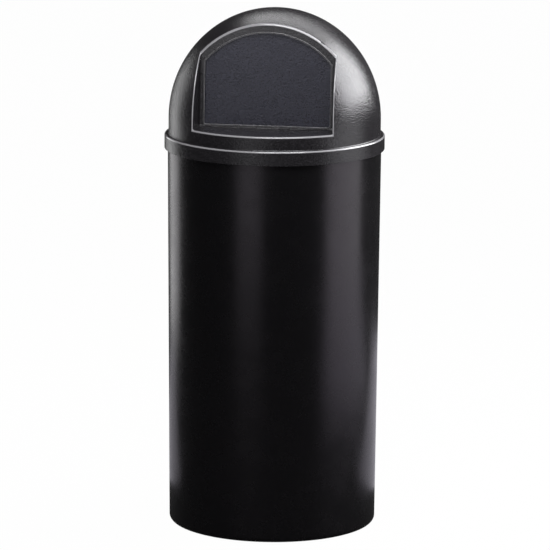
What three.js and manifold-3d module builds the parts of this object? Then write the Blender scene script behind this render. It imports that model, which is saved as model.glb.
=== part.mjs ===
// Dome top waste receptacle: a tapered round container, a lift-off dome with an arched recess,
// and a sprung push door that hangs on a steel rod behind the frame of the recess.
// Millimetres, +Z up. The origin is the centre of the foot ring, and the recess faces -Y.

import * as THREE from "three";
import { mergeVertices } from "three/addons/utils/BufferGeometryUtils.js";
import Module from "manifold-3d";

const wasm = await Module();
wasm.setup();

// ---------------------------------------------------------------- driving dimensions

const SEAT_GAP = 0.3; // clearance between pieces that rest on each other
const TURN_FACETS = 72; // facets round the container and the dome
const ROUND_STEP = Math.PI / 6; // largest turn between two points of a rounded corner

// Container
const CONTAINER_HEIGHT = 699.7;
const CONTAINER_TOP_RADIUS = 189.7;
const CONTAINER_TAPER = 5.2; // how much less the radius is at the foot
const CONTAINER_WALL = 4.5;
const BASE_ROUNDING = 9;
const BASE_THICKNESS = 6;
const FOOT_RING_WIDTH = 22;
const FOOT_RECESS_DEPTH = 6;

// Bag retainer band, in a groove just under the rim
const BAND_WIDTH = 11;
const BAND_THICKNESS = 2.2;
const GROOVE_DEPTH = 1.8;
const RIM_LIP_HEIGHT = 4;

// Dome shell
const DOME_WALL = 3;
const SKIRT_CLEARANCE = 2.8; // from the container's rim to the inside of the skirt
const LEDGE_WIDTH = 7.2; // from the skirt's face in to the dome's
const DOME_STRAIGHT_HEIGHT = 28.4; // from the ledge to where the crown begins
const CROWN_HEIGHT = 195.6;
const CROWN_STEPS = 14;
const SKIRT_HEIGHT = 25.3;
const SKIRT_TOP_ROUNDING = 2.5;
const LEDGE_FILLET = 2;

// Recess, cut into the dome by a flat plate that leans back
const RECESS_DEPTH = 97.7; // from the dome's face back to the plate's, at the sill
const CHEEK_INSET = 68; // from the dome's widest place in to each cheek, at the plate
const CHEEK_DRAFT = THREE.MathUtils.degToRad(3.7); // how far the cheeks open towards the front
const PLATE_LEAN = THREE.MathUtils.degToRad(4.1);
const PLATE_THICKNESS = 3;
const SILL_ABOVE_LEDGE = 23.6;
const SILL_STEP_HEIGHT = 1.2;
const SILL_STEP_INSET = 54; // from the dome's face in to the step's edge

// Opening in the plate: straight sides under an arc
const FRAME_SIDE_WIDTH = 8.8; // from a cheek to the opening
const FRAME_TOP_WIDTH = 16.5; // from the crown's edge down to the opening
const FRAME_FOOT_WIDTH = 5; // from the sill up to the opening
const OPENING_ARC_EXCESS = 33; // how much more the arc's radius is than the half width
const OPENING_CORNER_RADIUS = 3;
const ARCH_STEPS = 20;
const BEAD_WIDTH = 2.5;
const BEAD_HEIGHT = 1;

// Push door
const DOOR_THICKNESS = 3;
const DOOR_OVERLAP = 5; // past the opening at the sides and below
const DOOR_TOP_OVERLAP = 3;
const DOOR_SETBACK = 2; // from the back of the plate to the door's face
const DOOR_RIB_HEIGHT = 5;
const DOOR_RIB_WIDTH = 2.4;
const DOOR_RIB_INSET = 9;
const DOOR_RIB_SPREAD = 58; // from the middle to each upright rib
const DOOR_RIB_DROP = 2.4; // from the opening's upper corners down to the edge rib's ends

// Hinge
const ROD_RADIUS = 2.5;
const EYE_SEGMENTS = 8; // facets of half a turn of the rod, the eyes and their bores
const ROD_CLEARANCE = 0.3;
const HINGE_BEHIND_DOOR = 6.5; // from the door's back face to the rod's axis
const EAR_DISTANCE = 43; // from the middle to each ear's inner face
const EAR_THICKNESS = 4.5;
const EYE_WALL = 3;
const EAR_SHOULDER = 4.5; // from the rod up to the foot of an ear's brace on the plate
const KNUCKLE_LENGTH = 9;
const KNUCKLE_SIDE_PLAY = 0.5;
const KNUCKLE_FOOT = 15; // how far below the rod a knuckle's foot begins
const RETAINER_THICKNESS = 1.2;
const RETAINER_RADIUS = 6;
const RETAINER_SLOTS = 3;
const RETAINER_SLOT_WIDTH = 0.9;
const ROD_END_PAST_RETAINER = 2;

// Door springs: two torsion springs on the rod, one wound each way
const WIRE_DIAMETER = 1.6;
const COIL_MEAN_RADIUS = 4.8;
const COIL_TURNS = 8;
const COIL_PITCH = 2.4;
const COIL_SIDE_PLAY = 1.2; // from a coil's outer end to the knuckle
const DOOR_LEG_LENGTH = 42;
const SKIN_LEG_ANGLE = THREE.MathUtils.degToRad(40); // above level, towards the back
const WIRE_SIDES = 5;
const STEPS_PER_TURN = 8;

// Rubber bumpers between the plate and the door
const BUMPER_LENGTH = 16;
const BUMPER_WIDTH = 5;
const BUMPER_HEIGHT = 20; // above the sill, along the plate

// ---------------------------------------------------------------- sizes that follow

const CONTAINER_BASE_RADIUS = CONTAINER_TOP_RADIUS - CONTAINER_TAPER;
const SKIRT_RADIUS = CONTAINER_TOP_RADIUS + SKIRT_CLEARANCE + DOME_WALL;
const DOME_RADIUS = SKIRT_RADIUS - LEDGE_WIDTH;
const LEDGE_Z = CONTAINER_HEIGHT + SEAT_GAP + DOME_WALL;
const CROWN_BASE_Z = LEDGE_Z + DOME_STRAIGHT_HEIGHT;
const DOME_TOP_Z = CROWN_BASE_Z + CROWN_HEIGHT;
const SKIRT_BOTTOM_Z = LEDGE_Z - SKIRT_HEIGHT;
const SILL_Z = LEDGE_Z + SILL_ABOVE_LEDGE;
const SILL_STEP_RADIUS = DOME_RADIUS - SILL_STEP_INSET;
const PLATE_SETBACK = DOME_RADIUS - RECESS_DEPTH; // from the dome's axis, at the sill
const RECESS_HALF_WIDTH = DOME_RADIUS - CHEEK_INSET;

// Depths behind the plate's front face, and heights along it above the sill
const OPENING_HALF_WIDTH = RECESS_HALF_WIDTH - FRAME_SIDE_WIDTH;
const OPENING_ARC_RADIUS = OPENING_HALF_WIDTH + OPENING_ARC_EXCESS;
const OPENING_TOP = crownOverPlate() - FRAME_TOP_WIDTH;
const OPENING_ARC_CENTRE = OPENING_TOP - OPENING_ARC_RADIUS;
const OPENING_CORNER = OPENING_ARC_CENTRE + Math.sqrt(OPENING_ARC_RADIUS ** 2 - OPENING_HALF_WIDTH ** 2);
const DOOR_RIB_TOP = OPENING_CORNER - DOOR_RIB_DROP;
const DOOR_FACE_DEPTH = PLATE_THICKNESS + DOOR_SETBACK;
const DOOR_BACK_DEPTH = DOOR_FACE_DEPTH + DOOR_THICKNESS;
const HINGE_DEPTH = DOOR_BACK_DEPTH + HINGE_BEHIND_DOOR;
const HINGE_HEIGHT = OPENING_TOP;
const BORE_RADIUS = ROD_RADIUS + ROD_CLEARANCE;
const EYE_RADIUS = BORE_RADIUS + EYE_WALL;
const KNUCKLE_OUTER_X = EAR_DISTANCE - KNUCKLE_SIDE_PLAY;
const KNUCKLE_INNER_X = KNUCKLE_OUTER_X - KNUCKLE_LENGTH;
const RETAINER_X = EAR_DISTANCE + EAR_THICKNESS + SEAT_GAP;
const ROD_HALF_LENGTH = RETAINER_X + RETAINER_THICKNESS + ROD_END_PAST_RETAINER;
const COIL_OUTER_X = KNUCKLE_INNER_X - COIL_SIDE_PLAY - WIRE_DIAMETER / 2;

// How far up its middle line the plate's front face runs before it meets the crown.
function crownOverPlate() {
  const scale = new THREE.Vector2(DOME_RADIUS, CROWN_HEIGHT);
  const start = new THREE.Vector2(-PLATE_SETBACK, SILL_Z - CROWN_BASE_Z).divide(scale);
  const direction = new THREE.Vector2(Math.sin(PLATE_LEAN), Math.cos(PLATE_LEAN)).divide(scale);
  return reachToUnitRadius(start, direction);
}

// How far a point moves along a direction before it lies one unit from the origin.
function reachToUnitRadius(start, direction) {
  const a = direction.lengthSq();
  const b = start.dot(direction);
  const c = start.lengthSq() - 1;
  return (-b + Math.sqrt(b * b - a * c)) / a;
}

// ---------------------------------------------------------------- solids

function toSolid(geometry) {
  geometry.deleteAttribute("normal");
  geometry.deleteAttribute("uv");
  const merged = mergeVertices(geometry, 1e-4);
  const vertProperties = new Float32Array(merged.attributes.position.array);
  const triVerts = new Uint32Array(merged.index.array);
  return new wasm.Manifold(new wasm.Mesh({ numProp: 3, vertProperties, triVerts }));
}

function toGeometry(solid) {
  const mesh = solid.getMesh();
  const geometry = new THREE.BufferGeometry();
  geometry.setAttribute("position", new THREE.BufferAttribute(mesh.vertProperties, 3));
  geometry.setIndex(new THREE.BufferAttribute(mesh.triVerts, 1));
  geometry.computeVertexNormals();
  return geometry;
}

// Rounds each corner [x, y, radius] of an outline that has a radius.
function roundCorners(corners) {
  const points = [];
  corners.forEach(([x, y, radius], i) => {
    const corner = new THREE.Vector2(x, y);
    if (!radius) {
      points.push(corner);
      return;
    }
    const before = new THREE.Vector2(...corners.at(i - 1)).sub(corner).normalize();
    const after = new THREE.Vector2(...corners[(i + 1) % corners.length]).sub(corner).normalize();
    const halfAngle = Math.acos(THREE.MathUtils.clamp(before.dot(after), -1, 1)) / 2;
    const bisector = before.clone().add(after).normalize();
    const centre = corner.clone().addScaledVector(bisector, radius / Math.sin(halfAngle));
    const reach = radius / Math.tan(halfAngle);
    const start = corner.clone().addScaledVector(before, reach).sub(centre);
    const turn = Math.PI - 2 * halfAngle;
    const side = Math.sign(before.cross(after));
    const steps = Math.max(1, Math.round(turn / ROUND_STEP));
    for (let k = 0; k <= steps; k += 1) {
      const spoke = start.clone().rotateAround(new THREE.Vector2(), (-side * turn * k) / steps);
      points.push(spoke.add(centre));
    }
  });
  return points;
}

// Turns a profile of (radius, height) points about the Z axis.
function revolve(points) {
  const geometry = new THREE.LatheGeometry(points, TURN_FACETS);
  geometry.rotateX(Math.PI / 2);
  return toSolid(geometry);
}

// Extrudes a shape drawn on the plate (x across, y up the plate) between two depths behind
// the plate's front face. A negative depth stands in front of it.
function onPlate(shape, frontDepth, backDepth) {
  const depth = backDepth - frontDepth;
  const geometry = new THREE.ExtrudeGeometry(shape, { depth, bevelEnabled: false });
  geometry.translate(0, 0, -backDepth);
  return toSolid(plateToPart(geometry));
}

// Extrudes a shape drawn across the rod (x behind the plate, y up the plate) between two
// places along X.
function acrossRod(shape, fromX, toX) {
  const depth = toX - fromX;
  const options = { depth, bevelEnabled: false, curveSegments: EYE_SEGMENTS };
  const geometry = new THREE.ExtrudeGeometry(shape, options);
  geometry.rotateY(Math.PI / 2);
  geometry.translate(fromX, 0, 0);
  return toSolid(plateToPart(geometry));
}

// The plate's frame: x across, y up the plate from the sill, z out of its front face.
function plateToPart(geometry) {
  geometry.rotateX(Math.PI / 2 - PLATE_LEAN);
  return geometry.translate(0, -PLATE_SETBACK, SILL_Z);
}

function polygon(points) {
  return new THREE.Shape(polygonPoints(points));
}

function polygonPoints(points) {
  return points.map(([x, y]) => new THREE.Vector2(x, y));
}

// An upright rectangle about a middle line.
function upright(middle, half, bottom, top) {
  const [left, right] = [middle - half, middle + half];
  return polygon([[left, bottom], [right, bottom], [right, top], [left, top]]);
}

function circle(x, y, radius) {
  return new THREE.Shape().absarc(x, y, radius, 0, 2 * Math.PI, false);
}

// Straight sides and a flat foot under an arc: the outline of the opening, grown by margins.
function archShape(sideMargin, topMargin, footMargin) {
  const half = OPENING_HALF_WIDTH + sideMargin;
  const radius = OPENING_ARC_RADIUS + topMargin;
  const foot = FRAME_FOOT_WIDTH - footMargin;
  const shoulder = Math.acos(half / radius);
  const points = [];
  for (let k = 0; k <= ARCH_STEPS; k += 1) {
    const angle = THREE.MathUtils.lerp(shoulder, Math.PI - shoulder, k / ARCH_STEPS);
    points.push([radius * Math.cos(angle), OPENING_ARC_CENTRE + radius * Math.sin(angle)]);
  }
  points.push([-half, foot, OPENING_CORNER_RADIUS], [half, foot, OPENING_CORNER_RADIUS]);
  return new THREE.Shape(roundCorners(points));
}

// Extrudes a shape of (y, z) points from -half to +half along X.
function alongX(shape, half) {
  const geometry = new THREE.ExtrudeGeometry(shape, { depth: 2 * half, bevelEnabled: false });
  const basis = new THREE.Matrix4().makeBasis(
    new THREE.Vector3(0, 1, 0),
    new THREE.Vector3(0, 0, 1),
    new THREE.Vector3(1, 0, 0),
  );
  geometry.applyMatrix4(basis);
  geometry.translate(-half, 0, 0);
  return toSolid(geometry);
}

// ---------------------------------------------------------------- container and band

function containerRadiusAt(z) {
  return THREE.MathUtils.lerp(CONTAINER_BASE_RADIUS, CONTAINER_TOP_RADIUS, z / CONTAINER_HEIGHT);
}

const GROOVE_TOP_Z = CONTAINER_HEIGHT - RIM_LIP_HEIGHT;
const GROOVE_BOTTOM_Z = GROOVE_TOP_Z - BAND_WIDTH - 2 * SEAT_GAP;
const GROOVE_RADIUS = CONTAINER_TOP_RADIUS - GROOVE_DEPTH;

function makeContainer() {
  const recessRadius = CONTAINER_BASE_RADIUS - BASE_ROUNDING - FOOT_RING_WIDTH;
  const floorZ = FOOT_RECESS_DEPTH + BASE_THICKNESS;
  const rimInnerRadius = CONTAINER_TOP_RADIUS - CONTAINER_WALL;
  const floorRadius = containerRadiusAt(floorZ) - CONTAINER_WALL;
  return revolve(roundCorners([
    [0, FOOT_RECESS_DEPTH],
    [recessRadius - FOOT_RECESS_DEPTH, FOOT_RECESS_DEPTH, BASE_THICKNESS / 2],
    [recessRadius, 0],
    [CONTAINER_BASE_RADIUS, 0, BASE_ROUNDING],
    [containerRadiusAt(GROOVE_BOTTOM_Z), GROOVE_BOTTOM_Z],
    [GROOVE_RADIUS, GROOVE_BOTTOM_Z],
    [GROOVE_RADIUS, GROOVE_TOP_Z],
    [CONTAINER_TOP_RADIUS, GROOVE_TOP_Z],
    [CONTAINER_TOP_RADIUS, CONTAINER_HEIGHT, CONTAINER_WALL / 4],
    [rimInnerRadius, CONTAINER_HEIGHT, CONTAINER_WALL / 4],
    [floorRadius, floorZ, BASE_ROUNDING],
    [0, floorZ],
  ]));
}

function makeBand() {
  const inner = GROOVE_RADIUS + SEAT_GAP;
  const outer = inner + BAND_THICKNESS;
  const bottom = GROOVE_BOTTOM_Z + SEAT_GAP;
  const top = GROOVE_TOP_Z - SEAT_GAP;
  const points = [[inner, bottom], [outer, bottom], [outer, top], [inner, top], [inner, bottom]];
  return revolve(polygonPoints(points));
}

// ---------------------------------------------------------------- dome

// A quarter of an ellipse from the crown's foot to the top of the axis.
function crownPoints(inset) {
  const points = [];
  for (let k = 0; k <= CROWN_STEPS; k += 1) {
    const angle = (k / CROWN_STEPS) * (Math.PI / 2);
    const radius = k === CROWN_STEPS ? 0 : (DOME_RADIUS - inset) * Math.cos(angle);
    points.push(new THREE.Vector2(radius, CROWN_BASE_Z + (CROWN_HEIGHT - inset) * Math.sin(angle)));
  }
  return points;
}

function domeOutside() {
  const lower = roundCorners([
    [0, SKIRT_BOTTOM_Z],
    [SKIRT_RADIUS, SKIRT_BOTTOM_Z],
    [SKIRT_RADIUS, LEDGE_Z, SKIRT_TOP_ROUNDING],
    [DOME_RADIUS, LEDGE_Z, LEDGE_FILLET],
    [DOME_RADIUS, CROWN_BASE_Z],
  ]);
  lower.pop();
  return revolve([...lower, ...crownPoints(0)]);
}

function domeInside() {
  const belowSkirt = SKIRT_BOTTOM_Z - DOME_WALL;
  const ledgeUnderside = LEDGE_Z - DOME_WALL;
  const lower = [
    new THREE.Vector2(0, belowSkirt),
    new THREE.Vector2(SKIRT_RADIUS - DOME_WALL, belowSkirt),
    new THREE.Vector2(SKIRT_RADIUS - DOME_WALL, ledgeUnderside),
    new THREE.Vector2(DOME_RADIUS - DOME_WALL, ledgeUnderside),
  ];
  return revolve([...lower, ...crownPoints(DOME_WALL)]);
}

// The air in front of the plate and between the cheeks, grown by a wall on the sides that the
// dome closes.
function recessAir(wall) {
  const plateY = (z) => -PLATE_SETBACK + (z - SILL_Z) * Math.tan(PLATE_LEAN) + wall / Math.cos(PLATE_LEAN);
  const level = SILL_Z - wall;
  const ceiling = DOME_TOP_Z + DOME_WALL;
  const front = -SKIRT_RADIUS - DOME_WALL;
  const side = polygon([
    [front, level],
    [plateY(level), level],
    [plateY(ceiling), ceiling],
    [front, ceiling],
  ]);
  const cheekAtPlate = RECESS_HALF_WIDTH + wall / Math.cos(CHEEK_DRAFT);
  const cheekX = (y) => cheekAtPlate - (PLATE_SETBACK + y) * Math.tan(CHEEK_DRAFT);
  const plan = polygon([
    [-cheekX(front), front],
    [cheekX(front), front],
    [cheekX(0), 0],
    [-cheekX(0), 0],
  ]);
  const betweenCheeks = new THREE.ExtrudeGeometry(plan, { depth: ceiling - level, bevelEnabled: false });
  return alongX(side, cheekX(front)).intersect(toSolid(betweenCheeks.translate(0, 0, level)));
}

// The outer part of the sill stands a step higher, on an arc about the dome's axis.
function sillStep() {
  const outer = SKIRT_RADIUS + 2 * DOME_WALL;
  const points = polygonPoints([
    [SILL_STEP_RADIUS, SILL_Z - DOME_WALL],
    [outer, SILL_Z - DOME_WALL],
    [outer, SILL_Z + SILL_STEP_HEIGHT],
    [SILL_STEP_RADIUS, SILL_Z + SILL_STEP_HEIGHT],
    [SILL_STEP_RADIUS, SILL_Z - DOME_WALL],
  ]);
  return revolve(points);
}

// One ear hangs from the dome's skin behind the top of the plate and holds the rod in its eye.
// It runs up past the crown, which trims it.
function hingeEar(fromX) {
  const shoulder = HINGE_HEIGHT + EAR_SHOULDER;
  const top = HINGE_HEIGHT + CROWN_HEIGHT;
  const shape = new THREE.Shape();
  shape.moveTo(PLATE_THICKNESS / 2, top);
  shape.lineTo(PLATE_THICKNESS / 2, shoulder);
  shape.lineTo(HINGE_DEPTH - EYE_RADIUS, shoulder);
  shape.absarc(HINGE_DEPTH, HINGE_HEIGHT, EYE_RADIUS, Math.PI, 2 * Math.PI, false);
  shape.lineTo(HINGE_DEPTH + EYE_RADIUS, top);
  return acrossRod(shape, fromX, fromX + EAR_THICKNESS);
}

function makeDome() {
  const outside = domeOutside();
  const recess = recessAir(0).subtract(sillStep());
  const cavity = domeInside().subtract(recessAir(PLATE_THICKNESS));
  const ears = hingeEar(EAR_DISTANCE).add(hingeEar(-EAR_DISTANCE - EAR_THICKNESS)).intersect(outside);
  const bead = onPlate(archShape(BEAD_WIDTH, BEAD_WIDTH, BEAD_WIDTH), -BEAD_HEIGHT, PLATE_THICKNESS / 2);
  const opening = onPlate(archShape(0, 0, 0), -2 * BEAD_HEIGHT, 2 * PLATE_THICKNESS);
  const bore = acrossRod(circle(HINGE_DEPTH, HINGE_HEIGHT, BORE_RADIUS), -ROD_HALF_LENGTH, ROD_HALF_LENGTH);
  const shell = outside.subtract(recess).subtract(cavity);
  return shell.add(ears).add(bead).subtract(opening).subtract(bore);
}

// ---------------------------------------------------------------- push door

// A stiffening rib follows the door's edge at the sides and the foot.
function doorEdgeRib() {
  const outer = DOOR_OVERLAP - DOOR_RIB_INSET;
  const inner = outer - DOOR_RIB_WIDTH;
  const front = DOOR_BACK_DEPTH - DOOR_THICKNESS / 2;
  const back = DOOR_BACK_DEPTH + DOOR_RIB_HEIGHT;
  const ring = onPlate(archShape(outer, outer, outer), front, back)
    .subtract(onPlate(archShape(inner, inner, inner), front - 1, back + 1));
  const above = upright(0, OPENING_HALF_WIDTH, DOOR_RIB_TOP, 2 * HINGE_HEIGHT);
  return ring.subtract(onPlate(above, front - 1, back + 1));
}

function doorUprightRib(x) {
  const half = DOOR_RIB_WIDTH / 2;
  const foot = FRAME_FOOT_WIDTH - DOOR_OVERLAP + DOOR_RIB_INSET + half;
  const top = DOOR_RIB_TOP + DOOR_RIB_INSET;
  const front = DOOR_BACK_DEPTH - DOOR_THICKNESS / 2;
  return onPlate(upright(x, half, foot, top), front, DOOR_BACK_DEPTH + DOOR_RIB_HEIGHT);
}

// A knuckle: an eye round the rod, on a foot that grows out of the door's back.
function doorKnuckle(fromX) {
  const root = DOOR_BACK_DEPTH - DOOR_THICKNESS / 2;
  const start = -Math.PI / 3;
  const shape = new THREE.Shape();
  shape.moveTo(root, HINGE_HEIGHT - KNUCKLE_FOOT);
  shape.absarc(HINGE_DEPTH, HINGE_HEIGHT, EYE_RADIUS, start, Math.PI, false);
  shape.lineTo(root, HINGE_HEIGHT - EYE_RADIUS / 2);
  return acrossRod(shape, fromX, fromX + KNUCKLE_LENGTH);
}

function makeDoor() {
  const outline = archShape(DOOR_OVERLAP, DOOR_TOP_OVERLAP, DOOR_OVERLAP);
  const panel = onPlate(outline, DOOR_FACE_DEPTH, DOOR_BACK_DEPTH);
  const bore = acrossRod(circle(HINGE_DEPTH, HINGE_HEIGHT, BORE_RADIUS), -ROD_HALF_LENGTH, ROD_HALF_LENGTH);
  return panel
    .add(doorEdgeRib())
    .add(doorUprightRib(-DOOR_RIB_SPREAD))
    .add(doorUprightRib(DOOR_RIB_SPREAD))
    .add(doorKnuckle(KNUCKLE_INNER_X))
    .add(doorKnuckle(-KNUCKLE_OUTER_X))
    .subtract(bore);
}

// ---------------------------------------------------------------- hinge parts

function makeRod() {
  return acrossRod(circle(HINGE_DEPTH, HINGE_HEIGHT, ROD_RADIUS), -ROD_HALF_LENGTH, ROD_HALF_LENGTH);
}

// A push-on retainer grips the rod's end with three tongues between slots.
function makeRetainer(side) {
  const inner = side * RETAINER_X;
  const outer = side * (RETAINER_X + RETAINER_THICKNESS);
  const disc = circle(HINGE_DEPTH, HINGE_HEIGHT, RETAINER_RADIUS);
  disc.holes.push(new THREE.Path().absarc(HINGE_DEPTH, HINGE_HEIGHT, BORE_RADIUS, 0, 2 * Math.PI, true));
  let retainer = acrossRod(disc, Math.min(inner, outer), Math.max(inner, outer));
  for (let k = 0; k < RETAINER_SLOTS; k += 1) {
    retainer = retainer.subtract(retainerSlot((2 * Math.PI * k) / RETAINER_SLOTS));
  }
  return retainer;
}

function retainerSlot(angle) {
  const reach = (BORE_RADIUS + RETAINER_RADIUS) / 2;
  const half = RETAINER_SLOT_WIDTH / 2;
  const shape = polygonPoints([[0, -half], [reach, -half], [reach, half], [0, half]]);
  const placed = shape.map((point) => point
    .rotateAround(new THREE.Vector2(), angle)
    .add(new THREE.Vector2(HINGE_DEPTH, HINGE_HEIGHT)));
  return acrossRod(new THREE.Shape(placed), -ROD_HALF_LENGTH, ROD_HALF_LENGTH);
}

// A pad between the plate's back and the door's face, at a lower corner of the opening.
function makeBumper(side) {
  const half = BUMPER_WIDTH / 2;
  const middle = side * (OPENING_HALF_WIDTH + half);
  const top = BUMPER_HEIGHT + BUMPER_LENGTH;
  const corner = BUMPER_WIDTH / 4;
  const outline = roundCorners([
    [middle - half, BUMPER_HEIGHT, corner],
    [middle + half, BUMPER_HEIGHT, corner],
    [middle + half, top, corner],
    [middle - half, top, corner],
  ]);
  return onPlate(new THREE.Shape(outline), PLATE_THICKNESS + SEAT_GAP, DOOR_FACE_DEPTH - SEAT_GAP);
}

// ---------------------------------------------------------------- door springs

// The wire of one torsion spring: a leg on the dome's skin, the coil round the rod, and a leg
// down the back of the door. Points are in the plate's frame.
class SpringWire extends THREE.Curve {
  constructor(side) {
    super();
    const lean = (HINGE_BEHIND_DOOR - COIL_MEAN_RADIUS - WIRE_DIAMETER / 2 - SEAT_GAP) / DOOR_LEG_LENGTH;
    this.side = side;
    this.startAngle = Math.PI / 2 + SKIN_LEG_ANGLE;
    this.endAngle = Math.PI - Math.asin(lean) + 2 * Math.PI * COIL_TURNS;
    this.coilTurn = this.endAngle - this.startAngle;
    const rise = COIL_PITCH / (2 * Math.PI);
    this.coilLength = this.coilTurn * Math.hypot(COIL_MEAN_RADIUS, rise);
    this.innerX = COIL_OUTER_X - this.coilTurn * rise;
    this.skinLegLength = this.reachToSkin();
    this.length = this.skinLegLength + this.coilLength + DOOR_LEG_LENGTH;
  }

  coilPoint(angle) {
    const share = (angle - this.startAngle) / this.coilTurn;
    return new THREE.Vector3(
      this.side * THREE.MathUtils.lerp(this.innerX, COIL_OUTER_X, share),
      HINGE_HEIGHT + COIL_MEAN_RADIUS * Math.sin(angle),
      -HINGE_DEPTH - COIL_MEAN_RADIUS * Math.cos(angle),
    );
  }

  // Direction of growing angle, square to the rod.
  tangent(angle) {
    return new THREE.Vector3(0, Math.cos(angle), Math.sin(angle));
  }

  // How far the first leg runs before the wire lies on the inside of the crown.
  reachToSkin() {
    const inset = DOME_WALL + SEAT_GAP + WIRE_DIAMETER / 2;
    const scale = new THREE.Vector3(DOME_RADIUS - inset, DOME_RADIUS - inset, CROWN_HEIGHT - inset);
    const foot = plateToPartPoint(this.coilPoint(this.startAngle));
    const tip = plateToPartPoint(this.coilPoint(this.startAngle).sub(this.tangent(this.startAngle)));
    const direction = tip.sub(foot).divide(scale);
    const start = foot.sub(new THREE.Vector3(0, 0, CROWN_BASE_Z)).divide(scale);
    return reachToUnitRadius(start, direction);
  }

  getPoint(share) {
    const run = share * this.length;
    if (run < this.skinLegLength) {
      const back = this.skinLegLength - run;
      return this.coilPoint(this.startAngle).addScaledVector(this.tangent(this.startAngle), -back);
    }
    if (run < this.skinLegLength + this.coilLength) {
      const angle = this.startAngle + ((run - this.skinLegLength) / this.coilLength) * this.coilTurn;
      return this.coilPoint(angle);
    }
    const down = run - this.skinLegLength - this.coilLength;
    return this.coilPoint(this.endAngle).addScaledVector(this.tangent(this.endAngle), down);
  }
}

function plateToPartPoint(point) {
  return point
    .applyAxisAngle(new THREE.Vector3(1, 0, 0), Math.PI / 2 - PLATE_LEAN)
    .add(new THREE.Vector3(0, -PLATE_SETBACK, SILL_Z));
}

// The least gap between stretches of the wire that are half a turn or more apart.
function leastWireGap(points) {
  let least = Infinity;
  for (let i = 0; i < points.length; i += 1) {
    for (let j = i + STEPS_PER_TURN / 2; j < points.length; j += 1) {
      least = Math.min(least, points[i].distanceTo(points[j]) - WIRE_DIAMETER);
    }
  }
  return least;
}

function makeSpring(side) {
  const wire = new SpringWire(side);
  const turnLength = 2 * Math.PI * COIL_MEAN_RADIUS;
  const steps = Math.round((wire.length / turnLength) * STEPS_PER_TURN);
  console.log(`least gap in the spring wire: ${leastWireGap(wire.getSpacedPoints(steps)).toFixed(2)} mm`);
  const section = [];
  for (let k = 0; k < WIRE_SIDES; k += 1) {
    const angle = (2 * Math.PI * k) / WIRE_SIDES;
    section.push([(WIRE_DIAMETER / 2) * Math.cos(angle), (WIRE_DIAMETER / 2) * Math.sin(angle)]);
  }
  const options = { steps, extrudePath: wire, bevelEnabled: false };
  return toSolid(plateToPart(new THREE.ExtrudeGeometry(polygon(section), options)));
}

// ---------------------------------------------------------------- the assembly

const BLACK_PLASTIC = { color: 0x1b1a1d, roughness: 0.42, metalness: 0 };
const SATIN_PLASTIC = { color: 0x121114, roughness: 0.3, metalness: 0 };
const BLACK_RUBBER = { color: 0x17171a, roughness: 0.8, metalness: 0 };
const ZINC_STEEL = { color: 0xb9bcc0, roughness: 0.35, metalness: 1 };
const SPRING_STEEL = { color: 0x8d9095, roughness: 0.3, metalness: 1 };

function addPart(group, name, solid, look) {
  const mesh = new THREE.Mesh(toGeometry(solid), new THREE.MeshStandardMaterial(look));
  mesh.name = name;
  group.add(mesh);
}

const receptacle = new THREE.Group();
const container = new THREE.Group();
const dome = new THREE.Group();
const door = new THREE.Group();
receptacle.add(container, dome);
dome.add(door);

addPart(container, "container_body", makeContainer(), SATIN_PLASTIC);
addPart(container, "bag_retainer_band", makeBand(), BLACK_RUBBER);
addPart(dome, "dome_top", makeDome(), BLACK_PLASTIC);
addPart(dome, "hinge_rod", makeRod(), ZINC_STEEL);
for (const [name, side] of [["left", -1], ["right", 1]]) {
  addPart(dome, `rod_retainer_${name}`, makeRetainer(side), ZINC_STEEL);
  addPart(dome, `door_spring_${name}`, makeSpring(side), SPRING_STEEL);
  addPart(dome, `door_bumper_${name}`, makeBumper(side), BLACK_RUBBER);
}
addPart(door, "push_door", makeDoor(), BLACK_PLASTIC);

export default receptacle;
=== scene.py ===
"""Dome top waste receptacle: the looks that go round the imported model.

Everything is in metres in the model's own frame: +Z up, the origin at the centre of the foot ring,
and the recess of the dome facing -Y.
"""

from functools import reduce
from math import acos, asin, cos, pi, radians, sin, sqrt, tan

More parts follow.
